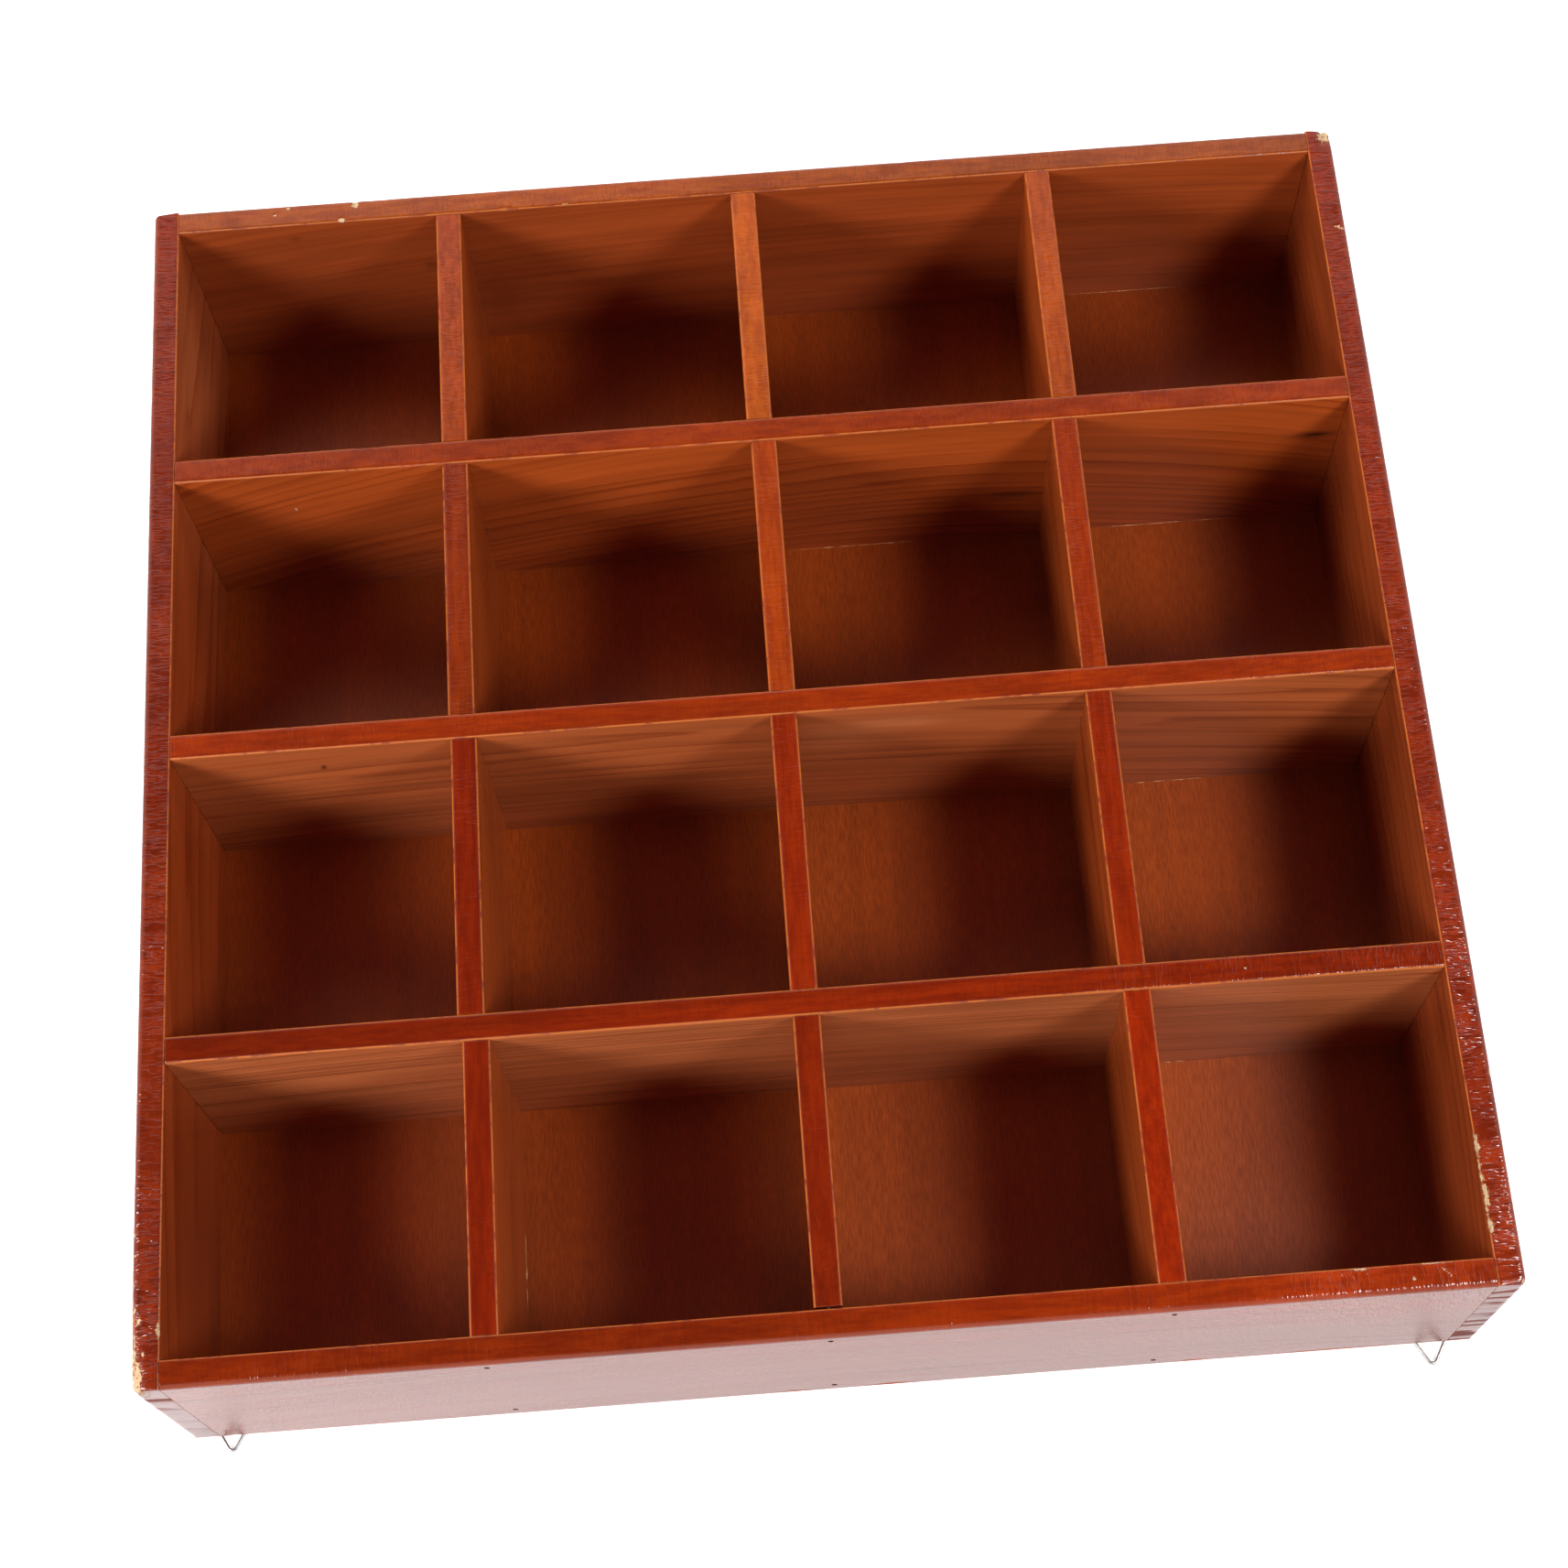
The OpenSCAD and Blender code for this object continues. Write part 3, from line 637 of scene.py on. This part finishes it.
def board(name, along, rounds, ends, material, heart, seed, outer=(0, 0), tone_and_light=1.0, painted_sheen=0.0, orange_and_sheen=0.0):
    """Rebuilds the CAD board name, whose path runs along axis 0 or 1.

    rounds are the rim's radii at the low and the high face, and ends the same two radii for
    the near and the far end. heart is the tree's heart from the board's foot and low face,
    up and out in mm, then its sag, the place where it stands highest and a growth ring's
    width. The heart's height falls by sag (d / 100)^2 at a distance of d mm from that place.
    outer is the rim value of the low and the high face. The last three are the rim's brightness,
    partly the board's own tone and partly painted light, the share of painted sheen on the faces,
    and the rim's share of orange, partly the wood's own and partly painted sheen."""
    low, high = (np.array(c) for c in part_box(name))
    cross = 1 - along
    size = high - low
    a, b, na, nb, edge, on_rim = board_outline(size[cross], size[2], *rounds, outer)
    small_marks = [mark for mark in marks.get(name, []) if mark[2] < broad_mark]
    places = [mark[1][along] * mm - low[along] for mark in small_marks]
    inner = path_stations(size[along], places, max(max(radii) for radii in ends) + end_gap)
    turn = np.linspace(np.pi / 2, 0, end_points)
    share = np.clip(a / size[cross], 0, 1)

    def end_rings(radii):
        r = radii[0] * (1 - share) + radii[1] * share
        corner, cap = np.sin(2 * turn) ** 2, np.sin(turn) ** 2
        return np.stack(
            [
                np.outer(1 - np.sin(turn), r),
                np.outer(1 - np.cos(turn), r),
                np.outer(corner, 0.8 * (r < worn_round)),
                np.outer(cap, np.ones(len(r))),
            ]
        )

    near, far = end_rings(ends[0]), end_rings(ends[1])[:, ::-1]
    flat = np.zeros((len(inner), len(a)))
    s = np.concatenate([near[0], inner[:, None] + flat, size[along] - far[0]])
    inset, end_edge, cap = [np.concatenate([near[k], flat, far[k]]) for k in (1, 2, 3)]
    rows, columns = s.shape
    points = np.zeros((rows, columns, 3))
    normals = np.zeros((rows, columns, 3))
    normals[..., cross], normals[..., 2] = na, nb
    points[..., along] = low[along] + s
    points[..., cross] = low[cross] + a - na * inset
    points[..., 2] = low[2] + np.maximum(b - nb * inset, 0)
    points, normals = points.reshape(-1, 3), normals.reshape(-1, 3)

    up, out, sag, top_place, ring = heart
    fall = sag * mm * ((points[:, along] / mm - top_place) / 100) ** 2
    grain = np.zeros_like(points)
    grain[:, 0] = (points[:, along] - low[along]) + 3.7 * seed
    grain[:, 1] = (points[:, 2] - low[2] - up * mm + fall) / (ring * mm)
    grain[:, 2] = (points[:, cross] - low[cross] - out * mm) / (ring * mm)

    edges = np.tile(edge, rows)
    painted = {kind: np.zeros(len(points)) for kind in painted_kinds}
    sink = edge_wear * (1 + ripple(points, seed, edge_waves)) * edges
    for kind, place, reach, width, depth, strength in marks.get(name, []):
        offset = (points - np.array(place) * mm) / mm
        d2 = (offset[:, along] / reach) ** 2 + (offset[:, cross] / width) ** 2 + (offset[:, 2] / width) ** 2
        painted[kind] = np.maximum(painted[kind], strength * np.exp(-0.9 * d2))
        rough = 1 + 0.5 * ripple(points, seed + int(reach * 10), chip_waves)
        sink += depth * mm * np.exp(-2 * d2) * rough
    points = points - normals * sink[:, None]
    faces = loop_faces(rows, columns)
    faces.append(list(range(columns)))
    faces.append(list(range((rows - 1) * columns, rows * columns))[::-1])
    if along == 1:
        faces = [face[::-1] for face in faces]
    # The rim's brightness adds the light marks' painted light; the dark marks carry painted shade too
    attributes = {
        "grain": grain,
        "edge": np.maximum(np.maximum(edges, end_edge.ravel()), painted["rub"]),
        "rim": np.maximum(np.tile(on_rim, rows), 0.85 * cap.ravel()),
        "end": cap.ravel(),
        "bare": painted["bare"],
        "dark_and_shade": painted["dark_and_shade"],
        "tone_and_light": tone_and_light + painted["painted_light"],
        "painted_sheen": np.minimum(painted_sheen + painted["painted_sheen"], 1),
        "orange_and_sheen": orange_and_sheen + np.zeros(len(points)),
        "crazed": painted["crazed"],
    }
    piece = mesh_piece("board_" + name, points, faces, material, attributes)
    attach(piece, "box")
    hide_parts(name)
    return piece


# %% [markdown]
# ## The walls
# The two side boards run the full length and show their end grain, and the other two walls
# are butted between them. Outer edges of the rims were rounded by 2 mm, inner ones eased.
# A heart far below a board gives straight lines, and one beside it gives arches.

# %% Walls
rim, eased, soft, joint_round = 2.0 * mm, 0.8 * mm, 1.0 * mm, 0.25 * mm
butted = ((joint_round, joint_round), (joint_round, joint_round))
left_ends = ((rim, joint_round), (rim, joint_round))
right_ends = ((joint_round, rim), (joint_round, rim))
outside = 0.7
# After the outer value come the rim's brightness, partly painted light, the faces' painted sheen and the
# rim's orange share, partly painted sheen
board("left_side", 1, (rim, eased), left_ends, side_pine, (-60, 4, 4, 0, 17), 1, (outside, 0), 1.0)
board("right_side", 1, (eased, rim), right_ends, side_pine, (-70, 3, 3, 0, 9), 2, (0, outside), 1.45, 0.08)
board("hanging_wall", 0, (rim, eased), butted, wall_pine, (-120, 6, 4, 20, 3.4), 3, (outside, 0), 0.75)
board("base_wall", 0, (eased, rim), butted, wall_pine, (-60, 30, 3, 60, 4.2), 4, (0, outside), 1.08, 0.1, 0.5)
print("Walls rebuilt: 4")

# %% [markdown]
# ## The dividers
# Three long dividers run from side to side, and three short ones are butted between them in
# each row. Each is its own piece of wood with its own tone and share of orange, listed for the
# long ones and for the rims of the short ones. Toward the far rows the rims are set lighter and
# more orange, which is partly painted light and sheen, and the second and third long dividers
# carry a painted sheen on their faces.

# %% Dividers
# Heart, rim brightness (partly painted light), faces' painted sheen, rim's orange share (partly painted
# sheen)
long_looks = [
    ((-40, 6, 9, 40, 5.5), 0.88, 0.0, 0.32),
    ((80, 40, 4, -60, 3.0), 1.08, 0.45, 0.20),
    ((5, 20, 3, 0, 2.6), 0.60, 0.8, 0.05),
]
for k, (heart, tone_and_light, painted_sheen, orange_and_sheen) in enumerate(long_looks, 1):
    name = f"long_divider_{k}"
    board(name, 0, (soft, soft), butted, divider_pine, heart, 4 + k, (0, 0), tone_and_light, painted_sheen, orange_and_sheen)
draw = np.random.default_rng(11)
# Rim brightness and orange share by row and column, rising toward the far rows: partly each board's own,
# partly painted light and sheen
short_tones_and_light = [(1.04, 1.33, 1.06), (0.85, 1.24, 1.15), (0.74, 0.95, 1.05), (0.76, 0.79, 1.04)]
short_orange_and_sheen = [(0.50, 0.85, 0.68), (0.28, 0.40, 0.22), (0, 0.05, 0.05), (0, 0.05, 0)]
for row in range(1, 5):
    for column in range(1, 4):
        name, seed = f"short_divider_{row}_{column}", 10 + 3 * row + column
        tone_and_light, orange_and_sheen = short_tones_and_light[row - 1][column - 1], short_orange_and_sheen[row - 1][column - 1]
        up, out = draw.uniform(-60, 140), draw.choice([-1, 1]) * draw.uniform(15, 60)
        heart = (up, out, draw.uniform(-8, 8), 0, draw.uniform(2.4, 4.5))
        board(name, 1, (soft, soft), butted, divider_pine, heart, seed, (0, 0), tone_and_light, 0.0, orange_and_sheen)
print("Dividers rebuilt:", len(long_looks) + row * column)

# %% [markdown]
# ## The plywood back
# The back is thin plywood with the same stain. Its rotary-cut face shows short pale flecks
# along the grain, which runs from the near wall to the far one. A peeled sheet follows the
# growth rings instead of cutting through them, so the boards' ring pattern would be wrong here.
# Three noises stretched along the grain give the flecks, the streaks and the broad clouds.

# %% Material: stained plywood
material, tree, shader = new_material("stained_plywood")
place = node(tree, "ShaderNodeTexCoord").outputs["Object"]
flecks = noise(tree, stretch(tree, place, (1500.0, 190.0, 900.0)), 1.0, 2.0, 0.6)
clouds = noise(tree, stretch(tree, place, (22.0, 7.0, 10.0)), 1.0, 3.0)
streaks = noise(tree, stretch(tree, place, (240.0, 9.0, 200.0)), 1.0, 2.0)
colour = blend(tree, fade(tree, flecks, 0.30, 0.72), (0.245, 0.0370, 0.0018, 1), (0.352, 0.0590, 0.0028, 1))
clouds, streaks = fade(tree, clouds, 0.25, 0.75, 0.82, 1.15), fade(tree, streaks, 0.3, 0.7, 0.94, 1.06)
colour = shaded(tree, colour, calc(tree, "MULTIPLY", clouds, streaks))
finish(tree, shader, colour, fade(tree, flecks, 0.3, 0.8, 0.38, 0.46))
shader.inputs["Specular IOR Level"].default_value = 0.48
roughen(tree, shader, flecks, 0.35, 0.06 * mm)


def dress(names, material):
    """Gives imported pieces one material."""
    for name in names:
        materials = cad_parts[name].data.materials
        materials.clear()
        materials.append(material)


dress(["back_panel"], material)
print("Plywood:", len(tree.nodes), "nodes")

# %% [markdown]
# ## Steel
# Brads, nails, straps and rings are plain steel wire and sheet, dulled by age. A metal's
# colour is all in its reflections, so the shader is fully metallic. One fine noise makes the
# grey, the gloss and the skin uneven together, as a thin tarnish does; the parts are so small
# that nothing finer would be seen.

# %% Material: dull steel
material, tree, shader = new_material("dull_steel")
place = node(tree, "ShaderNodeTexCoord").outputs["Object"]
specks = noise(tree, place, 1400.0, 3.0, 0.6)
colour = blend(tree, specks, (0.30, 0.295, 0.29, 1), (0.50, 0.49, 0.48, 1))
finish(tree, shader, colour, fade(tree, specks, 0.3, 0.7, 0.26, 0.42))
shader.inputs["Metallic"].default_value = 1.0
roughen(tree, shader, specks, 0.2, 0.03 * mm)
steel = material
steel_nodes = ["end_brads", "side_brads", "corner_brads", "divider_brads", "panel_brads", "hanger_nails"]
steel_nodes += ["hanger_strap_left", "hanger_strap_right", "hanger_ring_left", "hanger_ring_right"]
dress(steel_nodes, steel)
print("Steel pieces:", len(steel_nodes))

# %% [markdown]
# ## The wire rings
# Each ring is one wire bent into a triangle. Its centre line is straight between the corners
# and an arc round each of them, and a small circle carried along that closed path is the wire.
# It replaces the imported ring, whose pieces meet in plain steps, and swings with it.

# %% Rings
ring_base, ring_bends, wire_radius = 11.9 * mm, [1.2 * mm, 1.2 * mm, 1.5 * mm], 0.6 * mm


def rounded_triangle(corners, radii, steps=12):
    """Points of a closed path in the plane: at each corner an arc that touches both sides.

    The arc's middle lies on the corner's bisector at radius / sin(half the corner's angle)."""
    corners = np.array(corners, float)
    parts = []
    for k, radius in enumerate(radii):
        here = corners[k]
        back, on = corners[k - 1] - here, corners[(k + 1) % 3] - here
        back, on = back / np.linalg.norm(back), on / np.linalg.norm(on)
        half = np.arccos(np.clip(back @ on, -1, 1)) / 2
        middle = here + (back + on) / np.linalg.norm(back + on) * radius / np.sin(half)
        first = here + back * radius / np.tan(half) - middle
        turn = np.linspace(0, np.pi - 2 * half, steps) * np.sign(on[0] * back[1] - on[1] * back[0])
        cos, sin = np.cos(turn), np.sin(turn)
        rotated = np.stack([first[0] * cos - first[1] * sin, first[0] * sin + first[1] * cos], -1)
        parts.append(middle + rotated)
    return np.concatenate(parts)


def wire_ring(name, node_name, body, radius=wire_radius, around=14):
    """A round wire along a closed flat path: centre + radius (cos a side + sin a up).

    The path is a triangle with equal sides, whose tip is base / 2 times tan 60 away."""
    low, high = (np.array(c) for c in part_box(node_name))
    middle_x, eye_y, eye_z = (low[0] + high[0]) / 2, high[1] - radius, (low[2] + high[2]) / 2
    tip = ring_base / 2 * math.tan(math.radians(60))
    corners = [(-ring_base / 2, 0), (ring_base / 2, 0), (0, -tip)]
    path = rounded_triangle(corners, ring_bends)
    ahead = np.roll(path, -1, 0) - np.roll(path, 1, 0)
    ahead /= np.linalg.norm(ahead, axis=1)[:, None]
    side = np.stack([ahead[:, 1], -ahead[:, 0], 0 * ahead[:, 0]], -1)
    a = np.linspace(0, 2 * np.pi, around, endpoint=False)
    ring = np.cos(a)[None, :, None] * side[:, None, :] + np.sin(a)[None, :, None] * np.array([0, 0, 1.0])
    centre = np.stack([path[:, 0] + middle_x, path[:, 1] + eye_y, np.full(len(path), eye_z)], -1)
    points = (centre[:, None, :] + radius * ring).reshape(-1, 3)
    index = np.arange(len(path) * around).reshape(len(path), around)
    beyond = np.roll(index, -1, 0)
    quads = np.stack([index, np.roll(index, -1, 1), np.roll(beyond, -1, 1), beyond], -1).reshape(-1, 4)
    piece = mesh_piece(name, points, quads.tolist(), steel)
    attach(piece, body)
    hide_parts(node_name)
    return piece


left_wire = wire_ring("wire_ring_left", "hanger_ring_left", "left_ring")
right_wire = wire_ring("wire_ring_right", "hanger_ring_right", "right_ring")
print("Rings:", left_wire.name, right_wire.name, len(left_wire.data.vertices), "points each")

# %% [markdown]
# ## Dried glue
# Where a divider stands on the back, a thin line of glue was squeezed out and dried pale.
# It is a lumpy and half-glossy crust tinted by the stain, so one noise drives its colour,
# its gloss and its bumps together.

# %% Material: dried glue
material, tree, shader = new_material("dried_glue")
place = node(tree, "ShaderNodeTexCoord").outputs["Object"]
lumps = noise(tree, place, 700.0, 3.0, 0.6)
colour = blend(tree, fade(tree, lumps, 0.35, 0.65), (0.36, 0.12, 0.03, 1), (0.56, 0.30, 0.13, 1))
finish(tree, shader, colour, fade(tree, lumps, 0.3, 0.7, 0.30, 0.55))
roughen(tree, shader, lumps, 0.5, 0.05 * mm)
glue = material
print("Glue:", len(tree.nodes), "nodes")

# %% [markdown]
# ## Beads of glue
# Each bead is part of a circle carried along the joint, its radius wandering between almost
# nothing and a third of a millimetre, so that it comes and goes as squeezed glue does.


# %% Glue beads
def glue_bead(name, start, end, inward, seed, size=0.34):
    """A bead along a joint: radius = size (0.35 + ripple) faded to nothing at both ends."""
    start, end, inward = (np.array(v, float) * mm for v in (start, end, inward))
    length = np.linalg.norm(end - start)
    inward = inward / np.linalg.norm(inward)
    t = np.linspace(0, 1, int(length / (0.5 * mm)))[:, None]
    path = start + t * (end - start)
    waves = ripple(path, seed, 5 * mm) + 0.7 * ripple(path, seed + 1, 1.6 * mm)
    radius = size * mm * np.clip(0.45 + 0.75 * waves, 0.06, 1.2) * np.sin(np.pi * t[:, 0]) ** 0.35
    radius = np.maximum(radius, 0.015 * mm)
    a = np.linspace(-0.35, np.pi / 2 + 0.35, 7)
    around = np.cos(a)[None, :, None] * inward + np.sin(a)[None, :, None] * np.array([0, 0, 1.0])
    section = np.concatenate([around, -0.3 * (inward + np.array([0, 0, 1.0]))[None, None, :]], 1)
    points = (path[:, None, :] + radius[:, None, None] * section).reshape(-1, 3)
    rows, columns = len(path), section.shape[1]
    faces = loop_faces(rows, columns)
    faces += [list(range(columns)), list(range((rows - 1) * columns, rows * columns))[::-1]]
    direction = np.cross(end - start, [0, 0, 1.0])
    if direction @ inward > 0:
        faces = [face[::-1] for face in faces]
    piece = mesh_piece(name, points, faces, glue)
    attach(piece, "box")
    return piece


floor_z, rim_z = 5.56, 90.56
glue_lines = [
    ("glue_bead_1", (129, 219.2, floor_z), (176, 219.2, floor_z), (0, -1, 0)),
    ("glue_bead_2", (7, 110.5, floor_z), (57, 110.5, floor_z), (0, -1, 0)),
    ("glue_bead_3", (129, 110.5, floor_z), (184, 110.5, floor_z), (0, -1, 0)),
    ("glue_bead_4", (131, -0.2, floor_z), (157, -0.2, floor_z), (0, -1, 0)),
    ("glue_bead_5", (128, -111.8, floor_z), (139, -111.8, floor_z), (0, -1, 0)),
    ("glue_bead_6", (-106.38, -185, floor_z), (-106.38, -158, floor_z), (1, 0, 0)),
]
for k, (name, start, end, inward) in enumerate(glue_lines):
    glue_bead(name, start, end, inward, 60 + 2 * k)
print("Glue beads:", len(glue_lines))

# %% [markdown]
# ## Filled brad holes
# The brads were set just below the surface and their holes filled with a dark paste.
# Each filling is a small disc that stands a hair proud of the wood, with a sunken middle.
# Its outline wobbles and it is taller than wide, because the paste was smeared along.

# %% Material: dark filler
material, tree, shader = new_material("dark_filler")
place = node(tree, "ShaderNodeTexCoord").outputs["Object"]
lumps = noise(tree, place, 1800.0, 3.0, 0.6)
colour = blend(tree, lumps, (0.022, 0.007, 0.005, 1), (0.090, 0.020, 0.010, 1))
finish(tree, shader, colour, fade(tree, lumps, 0.3, 0.7, 0.70, 0.90))
shader.inputs["Specular IOR Level"].default_value = 0.1
filler = material
print("Filler:", len(tree.nodes), "nodes")


# %% Filler spots
def filler_spots(name, places, outward, radius=0.85 * mm):
    """Discs on a wall, as rings of points: radius u (1 + 0.12 sin + 0.06 sin) at each lift.

    The rings rise from a sunken middle to 0.03 mm proud, and the last one dips into the wood."""
    outward = np.array(outward, float)
    side = np.cross(outward, [0, 0, 1.0])
    u = np.array([0.0, 0.45, 0.8, 1.0, 1.0])[:, None]
    lift = np.array([-0.02, 0.0, 0.03, 0.03, -0.10])[:, None] * mm
    a = np.linspace(0, 2 * np.pi, 18, endpoint=False)[None, :]
    wobble = 1 + 0.12 * np.sin(2 * a + 0.7) + 0.06 * np.sin(5 * a)
    flat = radius * u * wobble
    disc = flat[..., None] * (np.cos(a)[..., None] * side + np.sin(a)[..., None] * np.array([0, 0, 1.5]))
    disc = disc + lift[..., None] * outward
    rows, columns = disc.shape[:2]
    one = loop_faces(rows, columns)[columns:] + [list(range(columns, 2 * columns))]
    points, faces = [], []
    for k, place in enumerate(places):
        points.append((disc + np.array(place)).reshape(-1, 3))
        faces += [[i + k * rows * columns for i in face] for face in one]
    piece = mesh_piece(name, np.concatenate(points), faces, filler, smooth=False)
    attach(piece, "box")
    return piece


def middle(name, axis):
    """The middle of a node along an axis."""
    low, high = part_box(name)
    return (low[axis] + high[axis]) / 2


brad_inset = 6
levels = [(floor_z + brad_inset) * mm, (rim_z - brad_inset) * mm]
near_face, far_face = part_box("hanging_wall")[0][1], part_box("base_wall")[1][1]
left_face, right_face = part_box("left_side")[0][0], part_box("right_side")[1][0]
near_spots = [(middle(f"short_divider_4_{c}", 0), near_face, z) for c in (1, 2, 3) for z in levels]
far_spots = [(middle(f"short_divider_1_{c}", 0), far_face, z) for c in (1, 2, 3) for z in levels]
side_ys = [middle(name, 1) for name in ("long_divider_1", "long_divider_2", "long_divider_3")]
side_ys += [middle(name, 1) for name in ("hanging_wall", "base_wall")]
filler_spots("filler_near", near_spots, (0, -1, 0))
filler_spots("filler_far", far_spots, (0, 1, 0))
filler_spots("filler_left", [(left_face, y, z) for y in side_ys for z in levels], (-1, 0, 0))
filler_spots("filler_right", [(right_face, y, z) for y in side_ys for z in levels], (1, 0, 0))
print("Filler spots:", len(near_spots) + len(far_spots) + 4 * len(side_ys))

# %% [markdown]
# ## Floor and light
# The box lies on plain white paper, and the photograph of it was cut out on white. So the
# paper glows for the camera's own rays, and more so further away. It also glows for mirror
# rays, because the near wall's lacquer reflects a wide bright sheet. For all other rays it is
# plain paper, so the box still has its soft shadows and the light that bounces up.

# %% Floor
floor_mesh = bpy.data.meshes.new("floor")
half = 4.0
corners = [(-half, -half, 0), (half, -half, 0), (half, half, 0), (-half, half, 0)]
floor_mesh.from_pydata(corners, [], [(0, 1, 2, 3)])
floor = bpy.data.objects.new("floor", floor_mesh)
scene.collection.objects.link(floor)
material, tree, shader = new_material("white_paper")
shader.inputs["Base Color"].default_value = (0.72, 0.72, 0.73, 1)
shader.inputs["Roughness"].default_value = 0.9
rays = node(tree, "ShaderNodeLightPath").outputs
mirrored = calc(tree, "MAXIMUM", rays["Is Glossy Ray"], rays["Is Transmission Ray"])
shader.inputs["Emission Color"].default_value = (1, 1, 1, 1)
place = node(tree, "ShaderNodeTexCoord").outputs["Object"]
away = node(tree, "ShaderNodeVectorMath", {0: place}, operation="LENGTH").outputs["Value"]
camera_glow = calc(tree, "MULTIPLY", rays["Is Camera Ray"], fade(tree, away, 0.35, 1.2, 0.65, 1.0))
mirror_glow = calc(tree, "MULTIPLY", mirrored, fade(tree, away, 0.35, 0.9, 0.39, 1.0))
tree.links.new(calc(tree, "MAXIMUM", camera_glow, mirror_glow), shader.inputs["Emission Strength"])
floor_mesh.materials.append(material)
print("Floor:", 2 * half, "m wide")

# %% [markdown]
# ## The surroundings
# The camera and the lacquer see a white room, but its ceiling is dim, as above a real table
# between two lamps. That keeps the rims, which mirror the ceiling, dark and deep in colour.
# For other rays the room is nearly black, so only the lamps light the cells.

# %% World
world = bpy.data.worlds.new("studio")
scene.world = world
world.use_nodes = True
tree = world.node_tree
tree.nodes.clear()
rays = node(tree, "ShaderNodeLightPath").outputs
seen = calc(tree, "MAXIMUM", rays["Is Camera Ray"], rays["Is Glossy Ray"])
seen = calc(tree, "MAXIMUM", seen, rays["Is Transmission Ray"])
height = node(tree, "ShaderNodeTexCoord").outputs["Generated"]
height = node(tree, "ShaderNodeSeparateXYZ", {0: height}).outputs["Z"]
mirrored = fade(tree, height, 0.77, 0.88, 1.0, 0.09)
shown = calc(tree, "MAXIMUM", calc(tree, "MULTIPLY", seen, mirrored), rays["Is Camera Ray"])
strength = calc(tree, "MAXIMUM", shown, 0.015)
background = node(tree, "ShaderNodeBackground", {"Color": (1, 1, 1, 1), "Strength": strength})
tree.links.new(background.outputs[0], node(tree, "ShaderNodeOutputWorld").inputs[0])
print("World:", len(tree.nodes), "nodes")

# %% [markdown]
# ## Lamps
# The shadows in the cells tell where the lamps stood: one large soft lamp to the right and
# one to the left, both on the viewer's side. Two weaker ones behind and one in front only
# brighten the rims and the near wall, as the walls of a room do.


# %% Lamps
def lamp(name, place, size, power, mirrored=True):
    """A square soft lamp that faces the box; power is in watts.

    A lamp that isn't mirrored lights the wood but shows no bright patch in the lacquer,
    as when the lacquer faces the wide white backdrop instead."""
    data = bpy.data.lights.new(name, "AREA")
    data.shape = "SQUARE"
    data.size = size
    data.energy = power
    made = bpy.data.objects.new(name, data)
    made.location = place
    made.rotation_euler = (Vector(place) - Vector((0, 0, 0.05))).to_track_quat("Z", "Y").to_euler()
    made.visible_glossy = mirrored
    scene.collection.objects.link(made)
    return made


lamp("lamp_right", (0.519, -0.358, 0.622), 0.22, 5.7)
lamp("lamp_left", (-0.56, -0.39, 0.43), 0.22, 5.2)
lamp("lamp_back", (-0.349, 0.529, 0.432), 0.50, 5.5, False)
lamp("lamp_back_right", (0.304, 0.460, 0.371), 0.31, 1.7, False)
lamp("lamp_front", (-0.04, -0.971, 0.395), 0.32, 2.2, False)
scene.view_settings.view_transform = "Standard"
